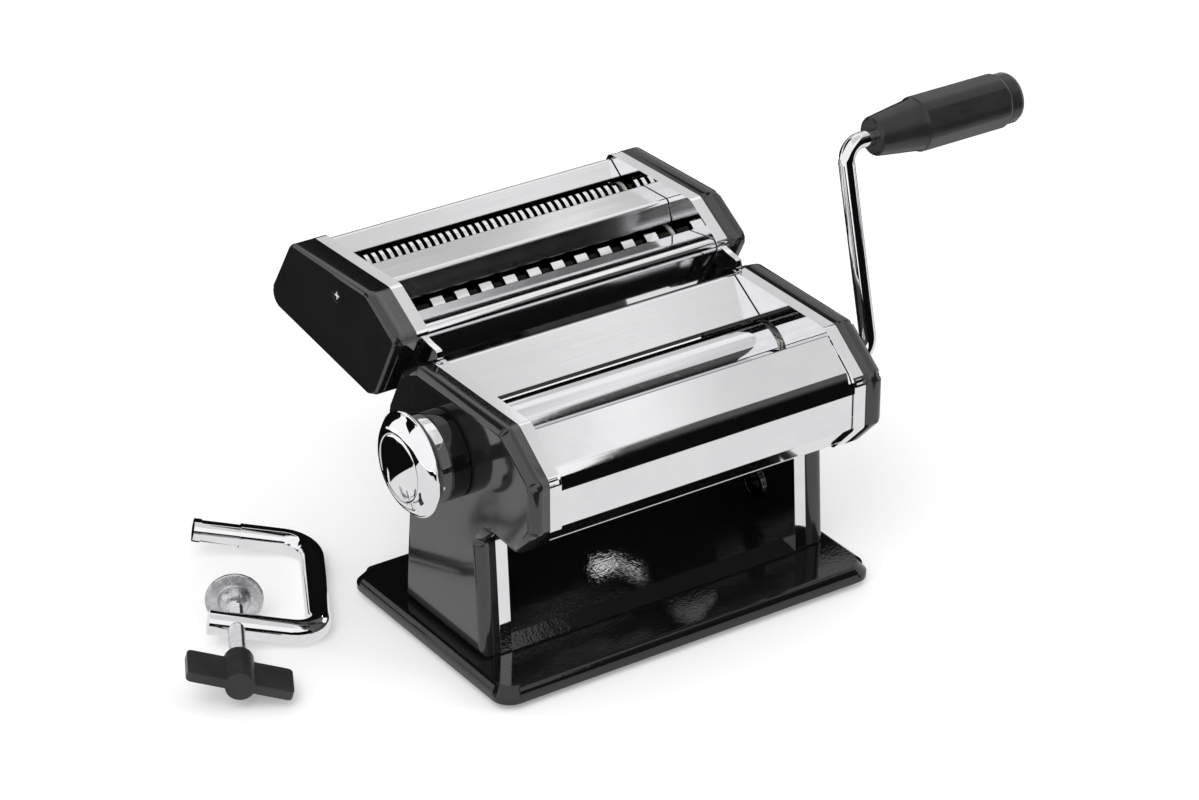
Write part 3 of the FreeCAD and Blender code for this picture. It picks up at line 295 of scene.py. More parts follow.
def metalFinish(name, look):
    material, tree, shader, vector = startFinish(name, look)
    smudges = placeSmudges(tree, vector, look)
    scratches = placeGroup(tree, "scratches", vector, Amount=look["scratches"])
    rough = mathNode(
        tree, "MULTIPLY_ADD", scratches.outputs["Mask"], scratchRoughness, smudges.outputs["Roughness"],
    )
    if look.get("brush"):
        brushed = placeGroup(tree, "brushed", vector, Pitch=look["brush"])
        rough = mathNode(tree, "MULTIPLY_ADD", brushed.outputs["Mask"], look["brushRough"], rough)
        bumpInto(tree, shader, brushed.outputs["Height"], look["brushDepth"], "brush")
        outside = mixColour(tree, shader, brushed.outputs["Mask"], look["light"], look["dark"])
    else:
        outside = mixColour(tree, shader, smudges.outputs["Mask"], look["light"], look["dark"])
        if look.get("wave"):
            waves = placeGroup(tree, "peel", vector, Size=look["waveSize"])
            bumpInto(tree, shader, waves.outputs["Height"], look["wave"], "wave")
    # painted shade: sheets get a near-black inner skin for the shade inside the body
    if look.get("inside"):
        paintInsideShade(tree, shader, outside, look["inside"])
    tree.links.new(rough, shader.inputs["Roughness"])
    return material


def plasticFinish(name, look):
    material, tree, shader, vector = startFinish(name, look)
    grain = placeGroup(tree, "grain", vector, Size=look["grainSize"])
    smudges = placeSmudges(tree, vector, look)
    mixColour(tree, shader, grain.outputs["Mottle"], look["light"], look["dark"])
    tree.links.new(smudges.outputs["Roughness"], shader.inputs["Roughness"])
    bumpInto(tree, shader, grain.outputs["Height"], look["grainDepth"], "grain")
    return material


def enamelFinish(name, look):
    material, tree, shader, vector = startFinish(name, look)
    peel = placeGroup(tree, "peel", vector, Size=look["peelSize"])
    smudges = placeSmudges(tree, vector, look)
    mixColour(tree, shader, smudges.outputs["Mask"], look["light"], look["dark"])
    tree.links.new(smudges.outputs["Roughness"], shader.inputs["Roughness"])
    bumpInto(tree, shader, peel.outputs["Height"], look["peelDepth"], "peel")
    return material


def litRecessFinish(name, look):
    # painted highlight: the driver recess of a screw is painted near white below the dark head, for the light it
    # catches
    material, tree, shader, vector = startFinish(name, look)
    split = addNode(tree, "ShaderNodeSeparateXYZ")
    tree.links.new(vector, split.inputs["Vector"])
    # the two heads lie at different distances from the middle, hence the shift
    depth = mathNode(tree, "ADD", split.outputs["X"], look["shift"] * mm)
    depth = mathNode(tree, "ABSOLUTE", depth)
    head = spread(tree, depth, low=0.0, high=1.0, fromLow=look["recess"] * mm, fromHigh=look["face"] * mm)
    smudges = placeSmudges(tree, vector, look)
    mixColour(tree, shader, head, look["light"], look["dark"])
    tree.links.new(smudges.outputs["Roughness"], shader.inputs["Roughness"])
    return material


def groovedShadeFinish(name, look):
    material, tree, shader, vector = startFinish(name, look)
    rims = placeGroup(
        tree, "grooves", vector, AxisY=look["axis"][0] * mm, AxisZ=look["axis"][1] * mm, Radius=look["radius"] * mm,
    )
    smudges = placeSmudges(tree, vector, look)
    # painted shade: the grooves are painted near black for the shade between the rims
    mixColour(tree, shader, rims.outputs["Mask"], look["dark"], look["light"])
    tree.links.new(smudges.outputs["Roughness"], shader.inputs["Roughness"])
    return material


metalLooks = {
    "mirrorChrome": dict(
        fixed={"Metallic": 1.0}, light=(0.92, 0.92, 0.935), dark=(0.84, 0.84, 0.86),
        smudgeSize=16.0, clean=0.03, smudged=0.065, scratches=0.2, wave=0.04, waveSize=90.0,
    ),
    "knobChrome": dict(
        fixed={"Metallic": 1.0}, light=(0.93, 0.93, 0.945), dark=(0.86, 0.86, 0.88),
        smudgeSize=40.0, clean=0.02, smudged=0.05, scratches=0.12,
    ),
    "crankChrome": dict(
        fixed={"Metallic": 1.0}, light=(0.92, 0.92, 0.935), dark=(0.84, 0.84, 0.86),
        smudgeSize=45.0, clean=0.03, smudged=0.08, scratches=0.25,
    ),
    # the inside colour of these sheets is painted shade, not the metal's own colour
    "polishedSheet": dict(
        fixed={"Metallic": 1.0}, light=(0.90, 0.90, 0.915), dark=(0.84, 0.84, 0.86),
        smudgeSize=12.0, clean=0.05, smudged=0.075, scratches=0.15, inside=(0.06, 0.06, 0.06),
    ),
    "satinSheet": dict(
        fixed={"Metallic": 1.0}, light=(0.88, 0.88, 0.895), dark=(0.85, 0.85, 0.865),
        smudgeSize=14.0, clean=0.13, smudged=0.17, scratches=0.15, brush=1400.0, brushRough=0.03, brushDepth=0.008,
        inside=(0.06, 0.06, 0.06),
    ),
    "groundRoller": dict(
        fixed={"Metallic": 1.0}, light=(0.86, 0.86, 0.88), dark=(0.76, 0.76, 0.79),
        smudgeSize=22.0, clean=0.05, smudged=0.08, scratches=0.3, brush=900.0, brushRough=0.02, brushDepth=0.006,
    ),
    "gearSteel": dict(
        fixed={"Metallic": 1.0}, light=(0.50, 0.49, 0.47), dark=(0.34, 0.33, 0.31),
        smudgeSize=60.0, clean=0.28, smudged=0.42, scratches=0.5,
    ),
    "sleeveSteel": dict(
        fixed={"Metallic": 1.0}, light=(0.10, 0.10, 0.105), dark=(0.05, 0.05, 0.05),
        smudgeSize=45.0, clean=0.05, smudged=0.11, scratches=0.3,
    ),
    "screwSteel": dict(
        fixed={"Metallic": 1.0}, light=(0.78, 0.78, 0.80), dark=(0.60, 0.60, 0.62),
        smudgeSize=70.0, clean=0.14, smudged=0.26, scratches=0.4,
    ),
    "castZinc": dict(
        fixed={"Metallic": 1.0}, light=(0.70, 0.70, 0.72), dark=(0.40, 0.40, 0.42),
        smudgeSize=190.0, clean=0.22, smudged=0.46, scratches=0.4, wave=0.45, waveSize=1100.0,
    ),
}
plasticLooks = {
    "coverPlastic": dict(
        fixed={"Specular IOR Level": 0.9}, light=(0.0150, 0.0150, 0.0160), dark=(0.0125, 0.0125, 0.0135),
        grainSize=1600.0, grainDepth=0.003, smudgeSize=14.0, clean=0.085, smudged=0.13,
    ),
    "collarPlastic": dict(
        fixed={"Specular IOR Level": 0.55}, light=(0.005, 0.005, 0.0055), dark=(0.003, 0.003, 0.003),
        grainSize=1200.0, grainDepth=0.01, smudgeSize=50.0, clean=0.04, smudged=0.08,
    ),
    "gripPlastic": dict(
        fixed={"Specular IOR Level": 0.5}, light=(0.017, 0.017, 0.018), dark=(0.011, 0.011, 0.012),
        grainSize=1500.0, grainDepth=0.14, smudgeSize=30.0, clean=0.26, smudged=0.34,
    ),
    "wingPlastic": dict(
        fixed={"Specular IOR Level": 0.4}, light=(0.032, 0.032, 0.033), dark=(0.019, 0.019, 0.020),
        grainSize=1500.0, grainDepth=0.3, smudgeSize=30.0, clean=0.34, smudged=0.46,
    ),
    "footRubber": dict(
        fixed={"Specular IOR Level": 0.3}, light=(0.016, 0.015, 0.015), dark=(0.009, 0.009, 0.009),
        grainSize=1100.0, grainDepth=0.3, smudgeSize=40.0, clean=0.62, smudged=0.8,
    ),
    "bushNylon": dict(
        fixed={"Specular IOR Level": 0.4}, light=(0.60, 0.59, 0.55), dark=(0.50, 0.49, 0.45),
        grainSize=1300.0, grainDepth=0.12, smudgeSize=40.0, clean=0.38, smudged=0.5,
    ),
    "bladeNylon": dict(
        fixed={"Specular IOR Level": 0.4}, light=(0.62, 0.62, 0.60), dark=(0.52, 0.52, 0.50),
        grainSize=1300.0, grainDepth=0.12, smudgeSize=40.0, clean=0.38, smudged=0.5,
    ),
}
litRecessLooks = {
    # painted highlight: light is the near-white paint of the recess, dark the head's own colour
    "darkScrew": dict(
        fixed={"Specular IOR Level": 0.6}, light=(0.95, 0.95, 0.95), dark=(0.012, 0.012, 0.013),
        shift=1.1, recess=95.0, face=95.3, smudgeSize=90.0, clean=0.12, smudged=0.22,
    ),
}
# the axes of a cutting pair, as Y and Z in millimetres, lie on both sides of the middle of its slot
slotMiddles = {"spaghetti": (99.0, 134.5), "fettuccine": (60.0, 127.5)}
halfPitch = 9.3
rollerSides = {"spaghettiDrive": 1, "spaghettiIdler": -1, "fettuccineDrive": -1, "fettuccineIdler": 1}
groovedShadeLooks = {}
for rollerName, rollerSide in rollerSides.items():
    slotY, slotZ = slotMiddles["spaghetti" if rollerName.startswith("spaghetti") else "fettuccine"]
    # dark is painted shade for the grooves, light is the ground steel of the rims
    groovedShadeLooks[rollerName + "Steel"] = dict(
        fixed={"Metallic": 1.0}, axis=(slotY + rollerSide * halfPitch, slotZ), radius=10.0,
        light=(0.80, 0.80, 0.81), dark=(0.015, 0.015, 0.015), smudgeSize=30.0, clean=0.04, smudged=0.09,
    )
enamelLooks = {
    "baseEnamel": dict(
        fixed={"Specular IOR Level": 0.6},
        light=(0.0060, 0.0060, 0.0065), dark=(0.0045, 0.0045, 0.005),
        peelSize=900.0, peelDepth=0.03, smudgeSize=18.0, clean=0.03, smudged=0.05,
    ),
}
finishes = {}
for makeFinish, looks in (
    (metalFinish, metalLooks), (plasticFinish, plasticLooks), (enamelFinish, enamelLooks),
    (groovedShadeFinish, groovedShadeLooks), (litRecessFinish, litRecessLooks),
):
    for name, look in looks.items():
        finishes[name] = makeFinish(name, look)
print("finishes made:", len(finishes))


# carried-over nodes that keep their shape and get a finish

plainNodes = {
    "leg_screws": "screwSteel", "tie_rods": "screwSteel", "tie_rod_nuts": "screwSteel",
    "front_roller_bushes": "bushNylon", "front_scraper": "bladeNylon", "rear_scraper": "bladeNylon",
    "roller_carriers": "bushNylon", "front_roller_gear": "gearSteel", "rear_roller_gear": "gearSteel",
    "regulator_spindle": "screwSteel", "crank_rod": "crankChrome", "clamp_frame": "crankChrome",
    "cutter_tie_rods": "screwSteel", "cutter_bushes": "bushNylon", "spaghetti_combs": "bladeNylon",
    "fettuccine_combs": "bladeNylon", "spaghetti_drive_gear": "gearSteel", "spaghetti_idler_gear": "gearSteel",
    "fettuccine_drive_gear": "gearSteel", "fettuccine_idler_gear": "gearSteel",
    "spaghetti_drive_roller": "spaghettiDriveSteel", "spaghetti_idler_roller": "spaghettiIdlerSteel",
    "fettuccine_drive_roller": "fettuccineDriveSteel", "fettuccine_idler_roller": "fettuccineIdlerSteel",
    "front_roller": "groundRoller", "rear_roller": "groundRoller",
}
for name, finish in plainNodes.items():
    for materialSlot in nodes[name].material_slots:
        materialSlot.material = finishes[finish]
print("carried-over nodes finished:", len(plainNodes))


# sheet-metal and moulded pieces, with the edges a press or a mould leaves


def finishPiece(piece, node, finish):
    piece.data.materials.clear()
    piece.data.materials.append(finishes[finish])
    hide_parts(node)
    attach(piece, nodes[node]["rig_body"])


def meshPiece(name, bm):
    mesh = bpy.data.meshes.new(name)
    bm.to_mesh(mesh)
    bm.free()
    piece = bpy.data.objects.new(name, mesh)
    bpy.context.scene.collection.objects.link(piece)
    return piece


def addEdgeModifiers(piece, look):
    if look["edge"] > 0:
        bevel = piece.modifiers.new("edge", "BEVEL")
        bevel.width = look["edge"] * mm
        bevel.segments = look["segments"]
        bevel.limit_method = "ANGLE"
        bevel.angle_limit = math.radians(look["angle"])
        bevel.use_clamp_overlap = True
    normals = piece.modifiers.new("shading", "WEIGHTED_NORMAL")
    normals.weight = look["faceWeight"]


def arcPlace(start, end, share, axis):
    # a point of the quarter arc that stands in for the straight run from start to end
    turn = share * math.pi / 2
    point = start + (end - start) * (1 - math.cos(turn))
    point[axis] = start[axis] + (end[axis] - start[axis]) * math.sin(turn)
    return point


def roundBand(bm, axis, low, high, cuts, near):
    # turns the chamfer between two levels along the axis into a round
    cross = []
    runs = []
    for edge in bm.edges:
        first, second = edge.verts
        if abs(first.co[axis] - low) < near and abs(second.co[axis] - high) < near:
            cross.append(edge)
            runs.append((first.co.copy(), second.co.copy()))
        elif abs(second.co[axis] - low) < near and abs(first.co[axis] - high) < near:
            cross.append(edge)
            runs.append((second.co.copy(), first.co.copy()))
    bmesh.ops.bisect_edges(bm, edges=cross, cuts=cuts)
    levels = [[] for cut in range(cuts)]
    for vert in bm.verts:
        share = (vert.co[axis] - low) / (high - low)
        if not 0 < round(share * (cuts + 1)) <= cuts:
            continue
        start, end = min(runs, key=lambda run: (run[0].lerp(run[1], share) - vert.co).length)
        if (start.lerp(end, share) - vert.co).length < near:
            levels[round(share * (cuts + 1)) - 1].append((vert, start, end))
    for members in levels:
        bmesh.ops.connect_verts(bm, verts=[vert for vert, start, end in members])
    for index, members in enumerate(levels):
        for vert, start, end in members:
            vert.co = arcPlace(start, end, (index + 1) / (cuts + 1), axis)


# what all of them share, in millimetres and degrees
dressing = {
    "weld": 0.02, "flatAngle": 0.4, "bandCuts": 6, "bandNear": 0.03, "segments": 2, "angle": 30.0, "faceWeight": 80,
}


def dressNode(node, own):
    look = {**dressing, **own}
    bm = bmesh.new()
    bm.from_mesh(nodes[node].data)
    bmesh.ops.remove_doubles(bm, verts=bm.verts, dist=look["weld"] * mm)
    bmesh.ops.dissolve_limit(bm, angle_limit=math.radians(look["flatAngle"]), verts=bm.verts, edges=bm.edges)
    if "band" in look:
        axis, low, high = look["band"]
        roundBand(bm, axis, low * mm, high * mm, look["bandCuts"], look["bandNear"] * mm)
    for face in bm.faces:
        face.smooth = True
    piece = meshPiece(look["piece"], bm)
    addEdgeModifiers(piece, look)
    finishPiece(piece, node, look["finish"])


dressed = {
    "base_plate": dict(piece="pressedBase", finish="baseEnamel", edge=0.3, angle=20.0, band=(2, 6.0, 10.8)),
    "rubber_feet": dict(piece="rubberFeet", finish="footRubber", edge=0.4),
    "left_side_plate": dict(piece="leftPlate", finish="mirrorChrome", edge=0.55, segments=4),
    "right_side_plate": dict(piece="rightPlate", finish="mirrorChrome", edge=0.55, segments=4),
    "left_cover": dict(piece="leftCover", finish="coverPlastic", edge=0.0, band=(0, -89.2, -93.2)),
    "right_cover": dict(piece="rightCover", finish="coverPlastic", edge=0.0, band=(0, 90.6, 94.6)),
    "clamp_sleeve": dict(piece="clampSleeve", finish="sleeveSteel", edge=0.25),
    "cutter_left_plate": dict(piece="headLeftPlate", finish="mirrorChrome", edge=0.55, segments=4),
    "cutter_right_plate": dict(piece="headRightPlate", finish="mirrorChrome", edge=0.55, segments=4),
    "cutter_left_cover": dict(piece="headLeftCover", finish="coverPlastic", edge=0.0, band=(0, -95.1, -96.6)),
    "cutter_right_cover": dict(piece="headRightCover", finish="coverPlastic", edge=0.0, band=(0, 92.9, 94.4)),
    "cutter_cover_screws": dict(piece="headScrews", finish="darkScrew", edge=0.12),
    "crank_grip": dict(piece="crankHandleGrip", finish="gripPlastic", edge=0.4, segments=3, angle=24.0),
    "grip_end_cap": dict(piece="gripEndCap", finish="gripPlastic", edge=0.4, segments=3),
    "wing_handle": dict(piece="wingHandle", finish="wingPlastic", edge=0.8, segments=3),
    "regulator_boss": dict(piece="regulatorBoss", finish="collarPlastic", edge=0.4),
}
for node, own in dressed.items():
    dressNode(node, own)
print("dressed pieces made:", len(dressed))


# bent sheets: an outer path in the YZ plane, offset by the sheet's thickness and drawn out along X

def bentOutline(path, bends, steps):
    points = [Vector(path[0])]
    for index in range(1, len(path) - 1):
        here = Vector(path[index])
        back = (Vector(path[index - 1]) - here).normalized()
        ahead = (Vector(path[index + 1]) - here).normalized()
        half = back.angle(ahead) / 2
        reach = bends[index - 1] / math.tan(half)
        centre = here + (back + ahead).normalized() * (bends[index - 1] / math.sin(half))
        first = here + back * reach - centre
        last = here + ahead * reach - centre
        swing = first.angle_signed(last)
        for step in range(steps + 1):
            turn = Matrix.Rotation(-swing * step / steps, 2)
            points.append(centre + turn @ first)
    points.append(Vector(path[-1]))
    return points


def offsetPath(path, distance, side):
    shifted = []
    for index, point in enumerate(path):
        here = Vector(point)
        before = (here - Vector(path[index - 1])).normalized() if index > 0 else None
        after = (Vector(path[index + 1]) - here).normalized() if index < len(path) - 1 else None
        before = before or after
        after = after or before
        firstNormal = Vector((-before[1], before[0])) * side
        secondNormal = Vector((-after[1], after[0])) * side
        shifted.append(here + (firstNormal + secondNormal) * distance / (1 + firstNormal.dot(secondNormal)))
    return shifted


# what all sheets share, in millimetres and degrees
sheetLook = {
    "from": -77.6, "to": 77.6, "sheet": 0.8, "lip": 0.6, "edge": 0.25, "segments": 2, "angle": 40.0, "faceWeight": 80,
    "finish": "satinSheet", "steps": 12,
}


def bentSheet(node, own):
    look = {**sheetLook, **own}
    path = look["path"]
    side = look["side"]
    bendPairs = []
    for index, bend in enumerate(look["bends"]):
        before = Vector(path[index + 1]) - Vector(path[index])
        after = Vector(path[index + 2]) - Vector(path[index + 1])
        turnedIn = (before[0] * after[1] - before[1] * after[0]) * side > 0
        # the radii of the outer and of the inner path
        bendPairs.append((bend + look["sheet"], bend) if turnedIn else (bend, bend + look["sheet"]))
    outer = bentOutline(path, [pair[0] for pair in bendPairs], look["steps"])
    outer.insert(1, outer[0] + (outer[1] - outer[0]).normalized() * look["lip"])
    inner = bentOutline(offsetPath(path, look["sheet"], side), [pair[1] for pair in bendPairs], look["steps"])
    bm = bmesh.new()
    insideShadeLayer = bm.verts.layers.float.new("insideSkin")
    ring = [bm.verts.new((look["from"] * mm, y * mm, z * mm)) for y, z in outer + inner[::-1]]
    # painted shade: the inner skin's vertices, and the first edge vertex, carry the full share of the painted shade
    for vert in ring[:1] + ring[len(outer):]:
        vert[insideShadeLayer] = 1.0
    face = bm.faces.new(ring)
    made = bmesh.ops.extrude_face_region(bm, geom=[face])
    moved = [item for item in made["geom"] if isinstance(item, bmesh.types.BMVert)]
    bmesh.ops.translate(bm, verts=moved, vec=((look["to"] - look["from"]) * mm, 0, 0))
    bmesh.ops.recalc_face_normals(bm, faces=bm.faces)
    for face in bm.faces:
        face.smooth = True
    piece = meshPiece(look["piece"], bm)
    addEdgeModifiers(piece, look)
    finishPiece(piece, node, look["finish"])


# each path runs through Y and Z, and side tells on which side of it the thickness lies
sheets = {
    "front_cover_sheet": dict(
        piece="frontSheet", finish="polishedSheet", side=1, steps=24,
        path=[(-55.5, 131.4), (-75.2, 115.8), (-75.2, 93.013), (-62.28, 79.2), (-62.28, 78.3), (-57.436, 78.3)],
        bends=[13.0, 2.2, 0.15, 0.15],
    ),
    "rear_hopper_sheet": dict(
        piece="hopperSheet", side=-1, bends=[2.0, 2.0, 2.0],
        path=[(-4.525, 120.0), (15.9, 132.7), (28.7, 125.7), (40.7, 103.3), (40.7, 90.0)],
    ),
    "cutter_rear_sheet": dict(
        piece="headRearSheet", side=-1, bends=[1.6, 1.6],
        path=[(107.9, 146.2), (117.3, 152.9), (135.7, 124.0), (134.2, 119.4)],
    ),
    "cutter_ridge_sheet": dict(
        piece="headRidgeSheet", side=1, bends=[1.6], path=[(89.3, 148.7), (68.9, 149.5), (65.6, 139.2)],
    ),
    "cutter_front_sheet": dict(
        piece="headFrontSheet", finish="polishedSheet", side=1, bends=[2.2, 2.2],
        path=[(51.1, 140.7), (31.9, 143.9), (28.8, 140.6), (46.2, 110.9)],
    ),
}
for node, own in sheets.items():
    bentSheet(node, own)
print("bent sheets made:", len(sheets))


# turned pieces

turnedWeld = 0.000002  # metres


def turnPiece(name, profile, centre, axis, steps):
    bm = bmesh.new()
    verts = [bm.verts.new(point) for point in profile]
    edges = [bm.edges.new((verts[i], verts[i + 1])) for i in range(len(verts) - 1)]
    bmesh.ops.spin(
        bm, geom=verts + edges, cent=centre, axis=axis, dvec=(0, 0, 0), angle=math.tau, steps=steps,
        use_merge=True, use_duplicate=False,
    )
    bmesh.ops.remove_doubles(bm, verts=bm.verts, dist=turnedWeld)
    bmesh.ops.recalc_face_normals(bm, faces=bm.faces)
    for face in bm.faces:
        face.smooth = True
    return meshPiece(name, bm)


def hardenEdges(piece, angle):
    bm = bmesh.new()
    bm.from_mesh(piece.data)
    limit = math.radians(angle)
    for edge in bm.edges:
        if len(edge.link_faces) == 2 and edge.calc_face_angle(0.0) > limit:
            edge.smooth = False
    bm.to_mesh(piece.data)
    bm.free()


def curvePoint(first, control, last, share):
    a = (1 - share) * (1 - share)
    b = 2 * share * (1 - share)
    return tuple(a * p + b * q + share * share * r for p, q, r in zip(first, control, last))


longestReach = 0.49  # of a run between two corners


def smoothProfile(corners, softness):
    # a corner's third value is how far its softening reaches along both runs
    points = [corners[0][:2]]
    for i in range(1, len(corners) - 1):
        radius = corners[i][2] if len(corners[i]) > 2 else 0.0
        here = Vector(corners[i][:2])
        if radius <= 0:
            points.append(tuple(here))
            continue
        back = Vector(corners[i - 1][:2]) - here
        ahead = Vector(corners[i + 1][:2]) - here
        reach = min(radius, back.length * longestReach, ahead.length * longestReach)
        first = here + back.normalized() * reach
        last = here + ahead.normalized() * reach
        for k in range(softness + 1):
            points.append(curvePoint(tuple(first), tuple(here), tuple(last), k / softness))
    points.append(corners[-1][:2])
    return points


knobAxis = (-9.725, 104.0)  # Y and Z


def turnAboutKnobAxis(name, corners, steps, softness):
    y, z = knobAxis
    profile = [(x * mm, y * mm, (z + r) * mm) for x, r in smoothProfile(corners, softness)]
    return turnPiece(name, profile, (0, y * mm, z * mm), (1, 0, 0), steps)


knobCapLook = {
    "steps": 160, "softness": 6, "domeRadius": 14.9, "domeRise": 2.2, "domeRim": -118.5, "domeSteps": 14,
    "bore": [(-103.4, 5.05), (-109.6, 5.05), (-109.6, 0.0)], "boreSteps": 96, "weld": 0.000003,
    "hardAngle": 40,
    # distance along X, radius, softening of the corner
    "profile": [
        (-103.4, 5.05), (-103.4, 20.0, 0.3), (-108.8, 20.3, 1.0), (-110.8, 21.6, 0.8), (-111.8, 23.8, 0.5),
        (-112.4, 24.3, 0.3), (-113.0, 24.3, 0.3), (-113.4, 23.6, 0.25), (-114.2, 23.1, 0.5), (-116.4, 20.9, 2.0),
        (-117.9, 18.2, 1.6), (-118.6, 15.9, 0.6), (-118.3, 15.2, 0.2),
    ],
}


def domeProfile(look):
    # a shallow dome from its rim to the middle
    points = []
    for step in range(look["domeSteps"] + 1):
        away = look["domeRadius"] * (1 - step / look["domeSteps"])
        share = 1 - (away / look["domeRadius"]) ** 2
        points.append((look["domeRim"] - look["domeRise"] * share, away))
    return points


def addMesh(piece, other, weld=None):
    bm = bmesh.new()
    bm.from_mesh(piece.data)
    bm.from_mesh(other.data)
    if weld is not None:
        bmesh.ops.remove_doubles(bm, verts=bm.verts, dist=weld)
        bmesh.ops.recalc_face_normals(bm, faces=bm.faces)
    bm.to_mesh(piece.data)
    bm.free()
    spare = other.data
    bpy.data.objects.remove(other)
    bpy.data.meshes.remove(spare)


knobCap = turnAboutKnobAxis(
    "knobCap", knobCapLook["profile"] + domeProfile(knobCapLook), knobCapLook["steps"], knobCapLook["softness"],
)
knobBore = turnAboutKnobAxis("knobCapBore", knobCapLook["bore"], knobCapLook["boreSteps"], knobCapLook["softness"])
addMesh(knobCap, knobBore, knobCapLook["weld"])
finishPiece(knobCap, "knob_cap", "knobChrome")
hardenEdges(knobCap, knobCapLook["hardAngle"])

collarLook = {
    "steps": 128, "softness": 5, "hardAngle": 40,
    "profile": [
        (-98.1, 5.05), (-103.4, 5.05), (-103.4, 19.7, 0.5), (-103.0, 20.3, 0.4), (-94.2, 20.3, 0.5),
        (-93.6, 19.7, 0.5), (-93.6, 15.0), (-98.1, 15.0), (-98.1, 5.05),
    ],
}
collar = turnAboutKnobAxis("knobCollar", collarLook["profile"], collarLook["steps"], collarLook["softness"])
finishPiece(collar, "knob_collar", "collarPlastic")
hardenEdges(collar, collarLook["hardAngle"])
print("knob turned")


# clamp: pad and threaded screw, made about the pad and then laid down

# the pad stands on its rim and the rod's middle lies at its own radius, which leans the whole clamp
clampLook = {"padLevel": 13.4, "rodLevel": 5.7, "apart": 38.0, "heading": 27.5, "place": (-160.0, 68.5, 13.4)}


def clampMatrix():
    lean = math.asin((clampLook["padLevel"] - clampLook["rodLevel"]) / clampLook["apart"])
    turn = Matrix.Rotation(-math.radians(clampLook["heading"]), 4, "Z") @ Matrix.Rotation(lean, 4, "Y")
    return Matrix.Translation(Vector(clampLook["place"]) * mm) @ turn


padLook = {
    "steps": 96, "softness": 4, "hardAngle": 40,
    # distance along the screw, radius, softening
    "profile": [
        (0.0, 0.0), (0.0, 12.1, 0.6), (-0.35, 13.2, 0.4), (-1.0, 13.4, 0.4), (-1.7, 13.2, 0.4), (-2.0, 12.5, 0.4),
        (-1.75, 11.2, 0.5), (-1.75, 8.6, 0.5), (-2.1, 7.5, 0.4), (-3.0, 7.2, 0.8), (-4.8, 6.7, 1.0),
        (-6.4, 5.5, 1.0), (-7.0, 4.2, 0.6), (-7.0, 2.65), (-3.0, 2.65), (-3.0, 0.0),
    ],
}


def turnAboutScrewAxis(name, corners, steps, softness):
    profile = [(0, y * mm, r * mm) for y, r in smoothProfile(corners, softness)]
    return turnPiece(name, profile, (0, 0, 0), (0, 1, 0), steps)


pad = turnAboutScrewAxis("clampPad", padLook["profile"], padLook["steps"], padLook["softness"])
pad.data.transform(clampMatrix())
finishPiece(pad, "clamp_pad", "castZinc")
hardenEdges(pad, padLook["hardAngle"])

screwLook = {
    "pitch": 1.5, "top": -7.6, "bottom": -64.5, "steps": 32, "hardAngle": 35, "leadIn": 0.1, "flatRadius": 2.6,
    "weld": 0.00001,
    # share of the pitch and radius, from root to crest
    "root": 3.3, "thread": [(0.0, 3.3), (0.12, 3.3), (0.5, 4.0), (0.62, 4.0)],
    "neck": [(-8.0, 0.0), (-8.0, 2.6), (-3.05, 2.6), (-3.05, 0.0)],
}


def threadedScrew(look):
    turns = int((look["top"] - look["bottom"]) / look["pitch"]) - 1
    middle = (look["top"] + look["bottom"]) / 2 * mm
    bm = bmesh.new()
    start = look["bottom"] + look["pitch"] * 0.5
    verts = []
    for k in range(turns):
        y = start + k * look["pitch"]
        for share, radius in look["thread"]:
            verts.append(bm.verts.new((0, (y + share * look["pitch"]) * mm, radius * mm)))
    verts.append(bm.verts.new((0, (start + turns * look["pitch"]) * mm, look["root"] * mm)))
    edges = [bm.edges.new((verts[i], verts[i + 1])) for i in range(len(verts) - 1)]
    bmesh.ops.spin(
        bm, geom=verts + edges, cent=(0, 0, 0), axis=(0, 1, 0), angle=math.tau,
        dvec=(0, look["pitch"] * mm / look["steps"], 0), steps=look["steps"], use_merge=False, use_duplicate=False,
    )
    bmesh.ops.remove_doubles(bm, verts=bm.verts, dist=look["weld"])
    for face in bm.faces:
        face.smooth = True
    # the open ends get a lead-in and a flat
    for atTop, level in ((True, look["top"] - look["leadIn"]), (False, look["bottom"])):
        rim = [e for e in bm.edges if e.is_boundary and (sum(v.co.y for v in e.verts) / 2 > middle) == atTop]
        made = bmesh.ops.extrude_edge_only(bm, edges=rim)
        for vert in [item for item in made["geom"] if isinstance(item, bmesh.types.BMVert)]:
            shrink = look["flatRadius"] * mm / math.hypot(vert.co.x, vert.co.z)
            vert.co = (vert.co.x * shrink, level * mm, vert.co.z * shrink)
        loop = [item for item in made["geom"] if isinstance(item, bmesh.types.BMEdge)]
        bmesh.ops.contextual_create(bm, geom=loop)
    bmesh.ops.recalc_face_normals(bm, faces=bm.faces)
    piece = meshPiece("clampScrew", bm)
    addMesh(piece, turnAboutScrewAxis("screwNeck", look["neck"], look["steps"], 0))
    piece.data.transform(clampMatrix())
    return piece


screw = threadedScrew(screwLook)
finishPiece(screw, "clamp_screw", "screwSteel")
hardenEdges(screw, screwLook["hardAngle"])
print("clamp pieces made")


# studio: floor, background, cards, lamps and camera

studio = {
    "floorSize": 6.0, "floorDrop": 0.0001, "floorColour": (0.90, 0.90, 0.905), "floorGlow": 0.2, "worldFill": 0.8,
}


def rectangle(low, high):
    return [low, (high[0], low[1]), high, (low[0], high[1])]


def lying(level, corners):
    return [(x, y, level) for x, y in corners]


def upright(distance, corners):
    return [(x, distance, z) for x, z in corners]


def flatCard(name, corners):
    bm = bmesh.new()
    bm.faces.new([bm.verts.new(corner) for corner in corners])
    card = meshPiece(name, bm)
    return card


half = studio["floorSize"] / 2
floor = flatCard("studioFloor", lying(-studio["floorDrop"], rectangle((-half, -half), (half, half))))


